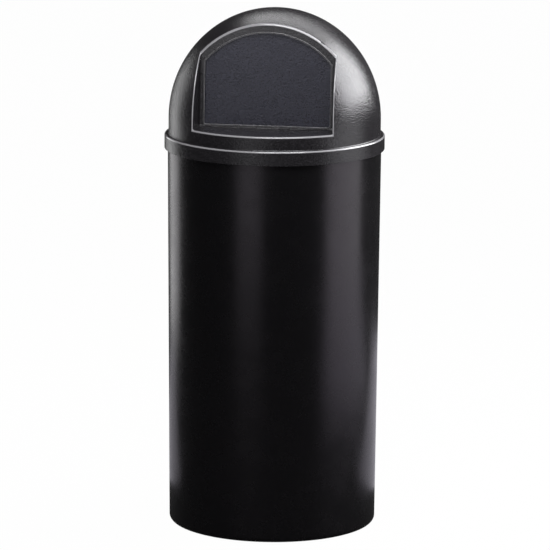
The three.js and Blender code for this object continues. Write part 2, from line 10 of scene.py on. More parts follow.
import bmesh
import bpy
from bpy.props import FloatProperty, FloatVectorProperty, IntProperty, PointerProperty
from bpy.types import Operator, Panel, PropertyGroup
from mathutils import Matrix, Vector
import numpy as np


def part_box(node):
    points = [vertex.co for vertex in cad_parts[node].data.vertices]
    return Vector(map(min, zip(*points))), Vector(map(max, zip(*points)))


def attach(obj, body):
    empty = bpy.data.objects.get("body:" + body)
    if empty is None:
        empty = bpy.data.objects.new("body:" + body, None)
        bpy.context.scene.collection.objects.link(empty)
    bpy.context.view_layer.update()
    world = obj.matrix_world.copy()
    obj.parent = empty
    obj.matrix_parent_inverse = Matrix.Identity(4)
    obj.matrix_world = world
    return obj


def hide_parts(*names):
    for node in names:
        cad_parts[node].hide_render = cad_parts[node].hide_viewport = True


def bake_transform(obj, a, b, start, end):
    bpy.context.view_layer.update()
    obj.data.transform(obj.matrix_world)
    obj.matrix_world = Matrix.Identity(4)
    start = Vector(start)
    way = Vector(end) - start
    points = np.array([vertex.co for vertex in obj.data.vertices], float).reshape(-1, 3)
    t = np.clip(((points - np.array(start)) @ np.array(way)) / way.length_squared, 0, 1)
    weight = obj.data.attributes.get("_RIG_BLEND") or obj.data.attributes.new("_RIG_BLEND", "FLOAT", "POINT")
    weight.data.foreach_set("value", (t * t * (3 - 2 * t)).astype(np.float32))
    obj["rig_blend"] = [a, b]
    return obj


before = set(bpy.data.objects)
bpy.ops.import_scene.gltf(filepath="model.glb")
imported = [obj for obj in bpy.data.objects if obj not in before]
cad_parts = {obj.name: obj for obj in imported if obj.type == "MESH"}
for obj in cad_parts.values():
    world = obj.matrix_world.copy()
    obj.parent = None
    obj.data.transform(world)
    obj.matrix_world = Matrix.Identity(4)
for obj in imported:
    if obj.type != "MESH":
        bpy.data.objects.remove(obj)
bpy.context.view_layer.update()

bl_info = {
    "name": "Dome Top Waste Receptacle",
    "version": (1, 0, 0),
    "blender": (4, 5, 0),
    "location": "3D View > Sidebar > Receptacle",
    "description": "Builds the receptacle's container, dome, push door, hinge and studio stage",
    "category": "Add Mesh",
}

CONTAINER_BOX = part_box("container_body")
BAND_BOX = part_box("bag_retainer_band")
DOME_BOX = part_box("dome_top")
ROD_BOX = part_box("hinge_rod")
SIDES = {"left": -1, "right": 1}
# Marks smooth edges: less rough, coated, and lightened in colour as a painted highlight.
SMOOTH_EDGE_HIGHLIGHT = "smooth_edge_painted_highlight"
RECESS_PART = "recess_part"
PLATE = 1
SILL = 2
ARCH_STEPS = 72
WELD = 1e-6


# ---------------------------------------------------------------- settings

def length(name, description, default, **options):
    """A size in metres."""
    settings = {"unit": "LENGTH", "min": 0.0, "precision": 5} | options
    return FloatProperty(name=name, description=description, default=default, **settings)


def angle(name, description, degrees):
    """An angle, given in degrees."""
    return FloatProperty(name=name, description=description, default=radians(degrees), unit="ROTATION")


def share(name, description, default):
    """A plain number from nothing to one."""
    return FloatProperty(name=name, description=description, default=default, min=0.0, max=1.0)


def colour(name, description, default):
    """A linear colour."""
    return FloatVectorProperty(
        name=name, description=description, default=default, size=3, subtype="COLOR", min=0.0, max=1.0)


class ContainerSettings(PropertyGroup):
    """Sizes of the container and of the band round its rim."""

    height: length("Height", "Height of the container without the dome", CONTAINER_BOX[1][2])
    top_radius: length("Top radius", "Outer radius at the rim", CONTAINER_BOX[1][0])
    taper: length("Taper", "How much less the radius is at the foot", 0.0052)
    wall: length("Wall", "Thickness of the side wall", 0.0045)
    base_rounding: length("Base rounding", "Radius between the side and the foot ring", 0.009)
    floor_thickness: length("Floor thickness", "Thickness of the container's floor", 0.006)
    foot_ring_width: length("Foot ring width", "Width of the ring that the container stands on", 0.022)
    foot_recess: length("Foot recess", "How far the floor stands above the foot ring", 0.006)
    rim_lip: length("Rim lip", "Height of the rim above the band's groove", 0.004)
    groove_depth: length("Groove depth", "How deep the band's groove is", 0.0018)
    groove_clearance: length("Groove clearance", "Gap round the band in its groove", 0.0003)
    segments: IntProperty(name="Segments", description="Facets round the container", default=192, min=24)


class DomeSettings(PropertyGroup):
    """Sizes of the dome, its recess and the frame round the opening."""

    wall: length("Wall", "Thickness of the moulding", 0.003)
    skirt_height: length("Skirt height", "From the skirt's foot to the ledge", 0.0253)
    skirt_rounding: length("Skirt rounding", "Radius of the skirt's upper edge", 0.0025)
    ledge_width: length("Ledge width", "From the skirt's face in to the dome's", 0.0072)
    ledge_fillet: length("Ledge fillet", "Fillet between the ledge and the dome", 0.002)
    straight_height: length("Straight height", "From the ledge to where the crown begins", 0.0284)
    crown_height: length("Crown height", "Height of the crown over its foot", 0.1956)
    recess_depth: length("Recess depth", "From the dome's face back to the plate's, at the sill", 0.0977)
    cheek_inset: length("Cheek inset", "From the dome's widest place in to a cheek, at the plate", 0.068)
    cheek_draft: angle("Cheek draft", "How far the cheeks open towards the front", 3.7)
    plate_lean: angle("Plate lean", "How far the plate leans back", 4.1)
    sill_above_ledge: length("Sill above ledge", "Height of the recess's sill over the ledge", 0.0236)
    sill_step: length("Sill step", "How much higher the sill's outer part is", 0.0012)
    sill_step_inset: length("Sill step inset", "From the dome's face in to the sill's step", 0.054)
    frame_side: length("Frame side", "Width of the plate beside the opening", 0.0088)
    frame_top: length("Frame top", "Width of the plate above the opening", 0.0165)
    frame_foot: length("Frame foot", "Width of the plate below the opening", 0.005)
    arc_excess: length("Arc excess", "How much more the opening's arc radius is than its half width", 0.033)
    corner_radius: length("Corner radius", "Radius of the opening's lower corners", 0.003)
    bead_width: length("Bead width", "Width of the bead round the opening", 0.0025)
    bead_height: length("Bead height", "How far the bead stands out of the plate", 0.001)
    edge_rounding: length("Edge rounding", "Radius of the recess's edges", 0.0026)
    segments: IntProperty(name="Segments", description="Facets round the dome", default=240, min=24)
    crown_rows: IntProperty(name="Crown rows", description="Rows of facets up the crown", default=60, min=8)


class DoorSettings(PropertyGroup):
    """Sizes of the push door and its bumpers."""

    thickness: length("Thickness", "Thickness of the door's panel", 0.003)
    overlap: length("Overlap", "How far the door passes the opening's sides and foot", 0.005)
    top_overlap: length("Top overlap", "How far the door passes the opening's top", 0.003)
    setback: length("Setback", "From the back of the plate to the door's face", 0.002)
    rib_height: length("Rib height", "How far the ribs stand out of the door's back", 0.005)
    rib_width: length("Rib width", "Thickness of a rib", 0.0024)
    rib_inset: length("Rib inset", "From the door's edge in to the edge rib", 0.009)
    rib_spread: length("Rib spread", "From the middle to each upright rib", 0.058)
    rib_drop: length("Rib drop", "From the opening's upper corners down to the ribs' ends", 0.0024)
    edge_rounding: length("Edge rounding", "Radius of the door's edges", 0.0008)
    bumper_length: length("Bumper length", "Height of a rubber bumper", 0.016)
    bumper_width: length("Bumper width", "Width of a rubber bumper", 0.005)
    bumper_height: length("Bumper place", "Height of a bumper's foot above the sill", 0.02)
    bumper_clearance: length("Bumper clearance", "Gap at a bumper's front and back", 0.0003)


class HingeSettings(PropertyGroup):
    """Sizes of the rod, the eyes round it, its retainers and the door springs."""

    rod_radius: length("Rod radius", "Radius of the steel rod", 0.0025)
    rod_clearance: length("Rod clearance", "Gap between the rod and an eye", 0.0003)
    eye_wall: length("Eye wall", "Thickness of an eye's wall", 0.003)
    behind_door: length("Behind door", "From the door's back face to the rod's axis", 0.0065)
    ear_distance: length("Ear distance", "From the middle to each ear's inner face", 0.043)
    ear_thickness: length("Ear thickness", "Thickness of an ear", 0.0045)
    ear_shoulder: length("Ear shoulder", "From the rod up to the foot of an ear's brace", 0.0045)
    knuckle_length: length("Knuckle length", "Length of a knuckle along the rod", 0.009)
    knuckle_play: length("Knuckle play", "Gap between a knuckle and its ear", 0.0005)
    knuckle_foot: length("Knuckle foot", "How far below the rod a knuckle's foot begins", 0.015)
    retainer_gap: length("Retainer gap", "Gap between an ear and its retainer", 0.0003)
    retainer_thickness: length("Retainer thickness", "Thickness of a push-on retainer", 0.0012)
    retainer_radius: length("Retainer radius", "Outer radius of a push-on retainer", 0.006)
    retainer_slot: length("Retainer slot", "Width of a retainer's slots", 0.0009)
    retainer_slots: IntProperty(name="Slots", description="Slots in a retainer", default=3, min=2)
    wire_diameter: length("Wire diameter", "Diameter of the spring wire", 0.0016)
    coil_radius: length("Coil radius", "Mean radius of a spring's coil", 0.0048)
    coil_turns: FloatProperty(name="Coil turns", description="Full turns of a spring", default=8.0, min=1.0)
    coil_pitch: length("Coil pitch", "From one turn of a spring to the next", 0.0024)
    coil_play: length("Coil play", "From a coil's outer end to the knuckle", 0.0012)
    door_leg: length("Door leg", "Length of the spring's leg down the door", 0.042)
    skin_leg_angle: angle("Skin leg angle", "Rise of the spring's leg towards the dome's skin", 40)


class FinishSettings(PropertyGroup):
    """Colours and grain of the finishes, and the painted highlight on their smooth edges."""

    dome_colour: colour("Dome colour", "Pebbled plastic of the dome", (0.0095, 0.0087, 0.0100))
    door_colour: colour("Door colour", "Pebbled plastic of the push door", (0.0120, 0.0120, 0.0170))
    container_colour: colour("Container colour", "Satin plastic of the container", (0.0022, 0.0022, 0.0024))
    dome_sheen: colour("Dome sheen", "Tint of the dome's reflections", (0.96, 0.96, 1.0))
    door_sheen: colour("Door sheen", "Tint of the door's reflections", (0.86, 0.86, 1.0))
    container_sheen: colour("Container sheen", "Tint of the container's reflections", (0.97, 0.88, 1.0))
    rubber_colour: colour("Rubber colour", "Band and bumpers", (0.012, 0.012, 0.0125))
    zinc_colour: colour("Zinc colour", "Plated rod and retainers", (0.62, 0.63, 0.65))
    spring_colour: colour("Spring colour", "Spring steel wire", (0.40, 0.40, 0.42))
    pebble: length("Pebble size", "Distance between the bumps of the pebbled grain", 0.0026)
    pebble_depth: length("Pebble depth", "Height of the bumps of the pebbled grain", 0.00035)
    dome_roughness: share("Dome roughness", "Roughness of the pebbled plastic", 0.25)
    edge_roughness: share("Edge roughness", "Roughness of the rubbed edges", 0.12)
    # Light colour on the smooth edges: a painted highlight.
    painted_edge_highlight: colour("Painted edge highlight", "Rubbed edges of the pebbled plastic", (0.22, 0.216, 0.228))
    container_roughness: share("Container roughness", "Roughness of the satin plastic", 0.26)


class StageSettings(PropertyGroup):
    """Camera, lamps and backdrop."""

    camera_distance: length("Camera distance", "Level distance from the object's axis", 8.2457)
    camera_height: length("Camera height", "Height of the camera above the floor", 2.1226)
    camera_azimuth: angle("Camera azimuth", "Turn of the camera round the object towards +X", 8.757)
    camera_turn: angle("Camera turn", "Turn of the view away from the object's axis", 0.222)
    camera_tilt: angle("Camera tilt", "How far the camera looks down", 11.491)
    camera_roll: angle("Camera roll", "Turn of the camera about its own view", 0.458)
    camera_lens: FloatProperty(name="Lens", description="Focal length in millimetres", default=308.44, min=1)
    camera_shift: FloatProperty(name="Shift", description="Sideways shift, in frame widths", default=-0.03)
    floor_colour: colour("Floor colour", "Pale floor", (0.42, 0.42, 0.42))
    floor_white: share("Floor whiteness", "How much of the floor's look is plain white", 0.985)
    card_colour: colour("Card colour", "Light of the cards on the floor", (0.93, 0.90, 1.0))
    mirrored_white: share("Mirrored backdrop", "Strength of the white backdrop in reflections", 0.035)
    ambient: share("Ambient", "Strength of the backdrop's soft light", 0.35)


SETTINGS = {
    "receptacle_container": ContainerSettings,
    "receptacle_dome": DomeSettings,
    "receptacle_door": DoorSettings,
    "receptacle_hinge": HingeSettings,
    "receptacle_finish": FinishSettings,
    "receptacle_stage": StageSettings,
}


def settings_of(part):
    """The scene's settings of one part of the receptacle."""
    return getattr(bpy.context.scene, f"receptacle_{part}")


# ---------------------------------------------------------------- shapes that several pieces share

class Layout:
    """Places that follow from the settings, worked out once for each operator."""

    def __init__(self):
        dome = settings_of("dome")
        door = settings_of("door")
        hinge = settings_of("hinge")
        self.skirt_radius = DOME_BOX[1][0]
        self.skirt_foot = DOME_BOX[0][2]
        self.ledge = self.skirt_foot + dome.skirt_height
        self.crown_foot = self.ledge + dome.straight_height
        self.crown_height = dome.crown_height
        self.sill = self.ledge + dome.sill_above_ledge
        self.dome_radius = self.skirt_radius - dome.ledge_width
        self.lean = dome.plate_lean
        self.draft = dome.cheek_draft
        self.setback = self.dome_radius - dome.recess_depth
        self.recess_half = self.dome_radius - dome.cheek_inset
        self.opening_half = self.recess_half - dome.frame_side
        self.arc_radius = self.opening_half + dome.arc_excess
        self.opening_foot = dome.frame_foot
        self.opening_top = self.crown_over_plate(0.0, 0.0, 0.0) - dome.frame_top
        self.arc_centre = self.opening_top - self.arc_radius
        self.corner_radius = dome.corner_radius
        self.door_face = dome.wall + door.setback
        self.door_back = self.door_face + door.thickness
        self.hinge_depth = self.door_back + hinge.behind_door
        self.hinge_height = self.opening_top
        self.bore_radius = hinge.rod_radius + hinge.rod_clearance
        self.eye_radius = self.bore_radius + hinge.eye_wall
        self.knuckle_outer = hinge.ear_distance - hinge.knuckle_play
        self.knuckle_inner = self.knuckle_outer - hinge.knuckle_length
        self.retainer_inner = hinge.ear_distance + hinge.ear_thickness + hinge.retainer_gap
        self.rod_half = ROD_BOX[1][0]
        opening_corner = self.arc_centre + sqrt(self.arc_radius ** 2 - self.opening_half ** 2)
        self.rib_top = opening_corner - door.rib_drop

    def on_plate(self, x, height, depth):
        """The place at x across the plate, a height up it from the sill and a depth behind its face."""
        back = sin(self.lean) * height + cos(self.lean) * depth
        up = cos(self.lean) * height - sin(self.lean) * depth
        return Vector((x, back - self.setback, self.sill + up))

    def plate_normal(self):
        """Direction out of the plate's front."""
        return Vector((0.0, -cos(self.lean), sin(self.lean)))

    def plate_up(self):
        """Direction up the plate."""
        return Vector((0.0, sin(self.lean), cos(self.lean)))

    def cheek_plane(self, side, inset):
        """A point on a cheek, at the plate's foot, and the direction out of the recess through it."""
        half = self.recess_half + inset / cos(self.draft)
        return (Vector((side * half, -self.setback, self.sill)),
                Vector((side * cos(self.draft), sin(self.draft), 0.0)))

    def cheek_foot(self, side, inset, level):
        """Where a cheek, the plate and a level meet."""
        y = self.on_plate(0.0, 0.0, inset).y + (level - self.on_plate(0.0, 0.0, inset).z) * tan(self.lean)
        point = self.cheek_plane(side, inset)[0]
        return Vector((point.x - side * (y + self.setback) * tan(self.draft), y, level))

    def reach_to_crown(self, start, direction, inset):
        """How far a point runs in a direction before it meets the crown, less an inset."""
        radius = self.dome_radius - inset
        scale = Vector((1 / radius, 1 / radius, 1 / (self.crown_height - inset)))
        origin = (start - Vector((0.0, 0.0, self.crown_foot))) * scale
        step = direction * scale
        a = step.length_squared
        b = origin.dot(step)
        c = origin.length_squared - 1
        return (-b + sqrt(b * b - a * c)) / a

    def crown_over_plate(self, x, depth, inset):
        """Height above the sill, up the plate, at which the crown closes over a place."""
        return self.reach_to_crown(self.on_plate(x, 0.0, depth), self.plate_up(), inset)


def rounded(corners, step=radians(9)):
    """Rounds each corner (x, y, radius) of an open outline; a corner of radius 0 stays sharp."""
    points = []
    for i, (x, y, radius) in enumerate(corners):
        corner = Vector((x, y))
        if not radius:
            points.append(corner)
            continue
        before = (Vector(corners[i - 1][:2]) - corner).normalized()
        after = (Vector(corners[(i + 1) % len(corners)][:2]) - corner).normalized()
        half_angle = acos(max(-1.0, min(1.0, before.dot(after)))) / 2
        centre = corner + (before + after).normalized() * (radius / sin(half_angle))
        start = corner + before * (radius / tan(half_angle)) - centre
        turn = pi - 2 * half_angle
        side = 1 if before.cross(after) > 0 else -1
        steps = max(2, round(turn / step))
        for k in range(steps + 1):
            points.append(centre + Matrix.Rotation(-side * turn * k / steps, 2) @ start)
    return points


def arch_outline(place, side, top, foot):
    """Straight sides and a flat foot under an arc: the opening's outline grown by margins."""
    half = place.opening_half + side
    radius = place.arc_radius + top
    shoulder = acos(half / radius)
    corners = []
    for k in range(ARCH_STEPS + 1):
        turn = shoulder + (pi - 2 * shoulder) * k / ARCH_STEPS
        corners.append((radius * cos(turn), place.arc_centre + radius * sin(turn), 0))
    level = place.opening_foot - foot
    rounding = place.corner_radius + max(foot, 0)
    corners += [(-half, level, rounding), (half, level, rounding)]
    return rounded(corners)


def add_ring(mesh, points, closed=True):
    """Puts a chain of points in a mesh and returns its edges."""
    verts = [mesh.verts.new(point) for point in points]
    pairs = list(zip(verts, verts[1:]))
    if closed:
        pairs.append((verts[-1], verts[0]))
    return [mesh.edges.new(pair) for pair in pairs]


def each_once(items):
    """The items in their own order, each once. A set's order would differ from run to run."""
    return list(dict.fromkeys(items))


def verts_of(edges):
    """The vertices of some edges, each once."""
    return each_once(vert for edge in edges for vert in edge.verts)


def middle(face):
    """The middle of a face."""
    return face.calc_center_median()


def put_in_order(mesh):
    """Sorts a mesh by place, because the order in which a spin leaves it differs from run to run."""
    along = Vector((0.5773, 0.2689, 0.7711))  # a slanted direction, so that no two places tie
    mesh.verts.sort(key=lambda vert: vert.co.dot(along))
    mesh.edges.sort(key=lambda edge: (edge.verts[0].co + edge.verts[1].co).dot(along))
    mesh.faces.sort(key=lambda face: middle(face).dot(along))


def turn_about_axis(mesh, profile, segments):
    """Spins a profile of (radius, height) points once round the Z axis."""
    edges = add_ring(mesh, [Vector((point[0], 0.0, point[1])) for point in profile], closed=False)
    bmesh.ops.spin(
        mesh, geom=verts_of(edges) + edges, cent=(0, 0, 0), axis=(0, 0, 1), angle=2 * pi,
        steps=segments, use_merge=True)
    bmesh.ops.remove_doubles(mesh, verts=mesh.verts[:], dist=WELD)
    put_in_order(mesh)


def fill_prism(mesh, near, far):
    """Closes the body between two matching rings of points."""
    first = add_ring(mesh, near)
    second = add_ring(mesh, far)
    faces = bmesh.ops.bridge_loops(mesh, edges=first + second)["faces"]
    caps = [mesh.faces.new([edge.verts[0] for edge in first])]
    caps.append(mesh.faces.new([edge.verts[0] for edge in second]))
    bmesh.ops.recalc_face_normals(mesh, faces=faces + caps)
    return first + second


def round_edges(mesh, edges, radius, segments=3):
    """Rounds edges with a bevel and returns the narrow faces that it leaves there."""
    narrow = 0.7 * radius
    faces = bmesh.ops.bevel(
        mesh, geom=edges, offset=radius, offset_type="OFFSET", segments=segments, profile=0.5,
        affect="EDGES", clamp_overlap=False, material=-1, loop_slide=True)["faces"]
    return [face for face in faces
            if face.calc_area() < narrow * max(edge.calc_length() for edge in face.edges)]


def new_pebbled_mesh():
    """An empty mesh whose faces can be marked as smooth edges with a painted highlight."""
    mesh = bmesh.new()
    mesh.faces.layers.float.new(SMOOTH_EDGE_HIGHLIGHT)
    return mesh


def mark_smooth_painted_highlight(mesh, faces):
    """Marks faces of an edge that has no grain and shines: less rough, coated, and painted lighter as a
    highlight.
    """
    layer = mesh.faces.layers.float[SMOOTH_EDGE_HIGHLIGHT]
    for face in faces:
        face[layer] = 1.0


def finish_piece(name, mesh, body, material, nodes):
    """Makes the piece's object: smooth shaded, on its body, in place of its model nodes."""
    put_in_order(mesh)
    for face in mesh.faces:
        face.smooth = True
    data = bpy.data.meshes.new(name)
    mesh.to_mesh(data)
    mesh.free()
    data.materials.append(material)
    piece = bpy.data.objects.new(name, data)
    bpy.context.scene.collection.objects.link(piece)
    normals = piece.modifiers.new("even_normals", "WEIGHTED_NORMAL")
    normals.keep_sharp = True
    normals.weight = 50
    if body:
        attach(piece, body)
    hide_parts(*nodes)
    return piece


# ---------------------------------------------------------------- finishes

def opaque(shade):
    """A colour with its alpha."""
    return (*shade, 1.0)


def times(factor, shade):
    """A colour made lighter or darker."""
    return tuple(factor * value for value in shade)


def fill(tree, node, sockets):
    """Gives a node's inputs their values, or links them to the outputs of other nodes."""
    for name, value in sockets.items():
        if isinstance(value, bpy.types.NodeSocket):
            tree.links.new(value, node.inputs[name])
        else:
            node.inputs[name].default_value = value


def add_node(tree, kind, sockets, **properties):
    """Adds a shader node, sets its properties and fills its inputs."""
    node = tree.nodes.new(f"ShaderNode{kind}")
    for name, value in properties.items():
        setattr(node, name, value)
    fill(tree, node, sockets)
    return node


def work_out(tree, operation, first, second):
    """The result of a sum, a product or the like."""
    return add_node(tree, "Math", {0: first, 1: second}, operation=operation).outputs[0]


def own_place(tree):
    """The coordinates that stay with the object."""
    return add_node(tree, "TexCoord", {}).outputs["Object"]


def noise(tree, place, scale, detail=2.0, roughness=0.5):
    """Noise on given coordinates."""
    sockets = {"Vector": place, "Scale": scale, "Detail": detail, "Roughness": roughness}
    return add_node(tree, "TexNoise", sockets).outputs["Fac"]


def spread(tree, source, low, high):
    """Maps the middle of a noise onto the range from low to high."""
    sockets = {"Value": source, "From Min": 0.3, "From Max": 0.7, "To Min": low, "To Max": high}
    return add_node(tree, "MapRange", sockets).outputs["Result"]


def blended(tree, source, first, second):
    """A colour that runs from a first one to a second one with a value."""
    return add_node(tree, "Mix", {0: source, 6: first, 7: second}, data_type="RGBA").outputs[2]


def relief(tree, shader, layers, depth, strength=1.0):
    """Raises the surface by several layers of (height, weight)."""
    heights = [work_out(tree, "MULTIPLY", height, weight) for height, weight in layers]
    total = reduce(lambda first, second: work_out(tree, "ADD", first, second), heights)
    bump = add_node(tree, "Bump", {"Strength": strength, "Distance": depth, "Height": total})
    fill(tree, shader, {"Normal": bump.outputs["Normal"]})


def new_finish(name, base, roughness, metallic=0.0, sheen=(1.0, 1.0, 1.0)):
    """A finish whose shader holds its constant values itself."""
    material = bpy.data.materials.new(name)
    material.use_nodes = True
    material.diffuse_color = opaque(base)
    tree = material.node_tree
    shader = tree.nodes["Principled BSDF"]
    fill(tree, shader, {
        "Base Color": opaque(base),
        "Roughness": roughness,
        "Metallic": metallic,
        "Specular Tint": opaque(sheen),
    })
    return material, tree, shader


def pebbled_plastic(name, base, sheen):
    """Black plastic with a fine pebbled grain, and smooth edges where hands and bags rub it, which shine and
    are painted lighter as a highlight.
    """
    finish = settings_of("finish")
    material, tree, shader = new_finish(name, base, finish.dome_roughness, sheen=sheen)
    place = own_place(tree)
    smooth_painted_highlight = add_node(tree, "Attribute", {}, attribute_name=SMOOTH_EDGE_HIGHLIGHT).outputs["Fac"]
    grainy = work_out(tree, "SUBTRACT", 1.0, smooth_painted_highlight)
    pebbles = add_node(
        tree, "TexVoronoi", {"Vector": place, "Scale": 1 / finish.pebble, "Smoothness": 0.6},
        feature="SMOOTH_F1").outputs["Distance"]
    fine = noise(tree, place, scale=1.6 / finish.pebble, detail=1.0)
    relief(tree, shader, [(pebbles, -1.0), (fine, 0.5)], finish.pebble_depth, grainy)
    worn = noise(tree, place, scale=14.0, detail=4.0)
    grain_roughness = spread(tree, worn, 0.86 * finish.dome_roughness, 1.16 * finish.dome_roughness)
    roughness = add_node(
        tree, "MapRange", {"Value": smooth_painted_highlight, "To Min": grain_roughness, "To Max": finish.edge_roughness})
    grain = spread(tree, noise(tree, place, scale=1 / finish.pebble), 0.0, 1.0)
    grain_colour = blended(tree, grain, opaque(times(0.55, base)), opaque(times(1.7, base)))
    fill(tree, shader, {
        # The marked edges take a light colour: a painted highlight.
        "Base Color": blended(tree, smooth_painted_highlight, grain_colour, opaque(finish.painted_edge_highlight)),
        "Roughness": roughness.outputs["Result"],
        "Coat Weight": smooth_painted_highlight,
        "Coat Roughness": finish.edge_roughness,
    })
    return material


def satin_plastic(name, base):
    """Smooth satin plastic with the faint waviness of a thin moulded wall."""
    finish = settings_of("finish")
    roughness = finish.container_roughness
    material, tree, shader = new_finish(name, base, roughness, sheen=finish.container_sheen)
    place = own_place(tree)
    fine = noise(tree, place, scale=900.0)
    wavy = noise(tree, place, scale=9.0, detail=1.0)
    relief(tree, shader, [(fine, 0.03), (wavy, 0.6)], depth=0.0006)
    scuffed = noise(tree, place, scale=22.0, detail=5.0, roughness=0.6)
    fill(tree, shader, {
        "Base Color": blended(tree, wavy, opaque(base), opaque(times(1.2, base))),
        "Roughness": spread(tree, scuffed, 0.9 * roughness, 1.15 * roughness),
    })
    return material


def rubber(name, base):
    """Matt rubber with a fine grain and a dusty bloom."""
    material, tree, shader = new_finish(name, base, roughness=0.75)
    place = own_place(tree)
    grain = noise(tree, place, scale=1500.0)
    bloom = noise(tree, place, scale=120.0, detail=3.0)
    relief(tree, shader, [(grain, 1.0)], depth=0.0001)
    fill(tree, shader, {
        "Base Color": blended(tree, bloom, opaque(base), opaque(times(2.0, base))),
        "Roughness": spread(tree, bloom, 0.68, 0.85),
    })
    return material


def plated_steel(name, base, roughness):
    """Bright steel with fine lines along its length and a slightly uneven plating."""
    material, tree, shader = new_finish(name, base, roughness, metallic=1.0)
    place = own_place(tree)
    drawn = add_node(tree, "Mapping", {"Vector": place, "Scale": (0.05, 1.0, 1.0)}).outputs["Vector"]
    relief(tree, shader, [(noise(tree, drawn, scale=600.0, detail=3.0), 1.0)], depth=0.00003)
    cloud = noise(tree, place, scale=200.0, detail=3.0)
    fill(tree, shader, {
        "Base Color": blended(tree, cloud, opaque(times(0.85, base)), opaque(base)),
        "Roughness": spread(tree, cloud, 0.8 * roughness, 1.3 * roughness),
    })
    return material


FINISHES = {
    "container": lambda finish: satin_plastic("satin_black_plastic", finish.container_colour),
    "dome": lambda finish: pebbled_plastic(
        "pebbled_black_plastic", finish.dome_colour, finish.dome_sheen),
    "door": lambda finish: pebbled_plastic(
        "pebbled_door_plastic", finish.door_colour, finish.door_sheen),
    "rubber": lambda finish: rubber("black_rubber", finish.rubber_colour),
    "zinc": lambda finish: plated_steel("zinc_plated_steel", finish.zinc_colour, 0.3),
    "spring": lambda finish: plated_steel("spring_steel", finish.spring_colour, 0.28),
}
made_finishes = {}


def finish_of(name):
    """The material of a finish, made when it is first asked for."""
    if name not in made_finishes:
        made_finishes[name] = FINISHES[name](settings_of("finish"))
    return made_finishes[name]


# ---------------------------------------------------------------- container and band

def container_profile(sizes):
    """The container's closed section, from the middle of its underside round to that of its floor."""
    base_radius = sizes.top_radius - sizes.taper
    ring_inner = base_radius - sizes.base_rounding - sizes.foot_ring_width
    floor = sizes.foot_recess + sizes.floor_thickness
    groove_top = sizes.height - sizes.rim_lip
    groove_foot = BAND_BOX[0][2] - sizes.groove_clearance
    groove_radius = sizes.top_radius - sizes.groove_depth

    def radius_at(height):
        return base_radius + sizes.taper * height / sizes.height

    lip = sizes.wall / 4
    edge = sizes.groove_clearance
    return rounded([
        (0, sizes.foot_recess, 0),
        (ring_inner - sizes.foot_recess, sizes.foot_recess, sizes.floor_thickness / 2),
        (ring_inner, 0, sizes.floor_thickness / 6),
        (base_radius, 0, sizes.base_rounding),
        (radius_at(groove_foot), groove_foot, edge),
        (groove_radius, groove_foot, edge),
        (groove_radius, groove_top, edge),
        (sizes.top_radius, groove_top, edge),
        (sizes.top_radius, sizes.height, lip),
        (sizes.top_radius - sizes.wall, sizes.height, lip),
        (radius_at(floor) - sizes.wall, floor, sizes.base_rounding),
        (0, floor, 0),
    ])


def add_level_rows(mesh, low, high, count):
    """Cuts rows into the long side walls, so that their facets stay near square."""
    for k in range(1, count):
        level = low + (high - low) * k / count
        bmesh.ops.bisect_plane(
            mesh, geom=mesh.verts[:] + mesh.edges[:] + mesh.faces[:], dist=WELD,
            plane_co=(0, 0, level), plane_no=(0, 0, 1))


def make_container():
    """The tapered container, turned in one piece."""
    sizes = settings_of("container")
    mesh = bmesh.new()
    turn_about_axis(mesh, container_profile(sizes), sizes.segments)
    add_level_rows(mesh, sizes.base_rounding * 2, BAND_BOX[0][2] - sizes.base_rounding, count=12)
    bmesh.ops.recalc_face_normals(mesh, faces=mesh.faces[:])
    return finish_piece(
        "container", mesh, "container", finish_of("container"), ["container_body"])


def make_band():
    """The elastic band in the groove under the container's rim."""
    sizes = settings_of("container")
    low, high = BAND_BOX
    inner = sizes.top_radius - sizes.groove_depth + sizes.groove_clearance
    edge = (high[0] - inner) / 3
    section = rounded([
        (inner, low[2], edge), (high[0], low[2], edge), (high[0], high[2], edge), (inner, high[2], edge)])
    mesh = bmesh.new()
    turn_about_axis(mesh, section + section[:1], sizes.segments)
    bmesh.ops.recalc_face_normals(mesh, faces=mesh.faces[:])
    return finish_piece("bag_band", mesh, "container", finish_of("rubber"), ["bag_retainer_band"])


# ---------------------------------------------------------------- dome

def dome_profile(place, inset):
    """The dome's section: skirt, ledge, straight side and crown, moved inwards by an inset."""
    sizes = settings_of("dome")
    skirt = place.skirt_radius - inset
    side = place.dome_radius - inset
    ledge = place.ledge - inset
    rise = place.crown_height - inset
    lip = sizes.wall / 4
    lower = rounded([
        (skirt - (0 if inset else sizes.wall / 2), place.skirt_foot + (lip if inset else 0), 0),
        (skirt, place.skirt_foot + (2 * lip if inset else 0), 0 if inset else lip),
        (skirt, ledge, max(sizes.skirt_rounding - inset, lip)),
        (side, ledge, sizes.ledge_fillet + (lip if inset else 0)),
        (side, place.crown_foot, 0),
    ])
    crown = []
    for k in range(1, sizes.crown_rows):
        turn = pi / 2 * k / sizes.crown_rows
        crown.append(Vector((side * cos(turn), place.crown_foot + rise * sin(turn))))
    crown.append(Vector((0.0, place.crown_foot + rise)))
    return lower + crown


def cut_faces(mesh, faces, point, normal):
    """Cuts some of a mesh's faces along a plane."""
    edges = each_once(edge for face in faces for edge in face.edges)
    bmesh.ops.bisect_plane(
        mesh, geom=list(faces) + edges + verts_of(edges), dist=WELD, plane_co=point, plane_no=normal)


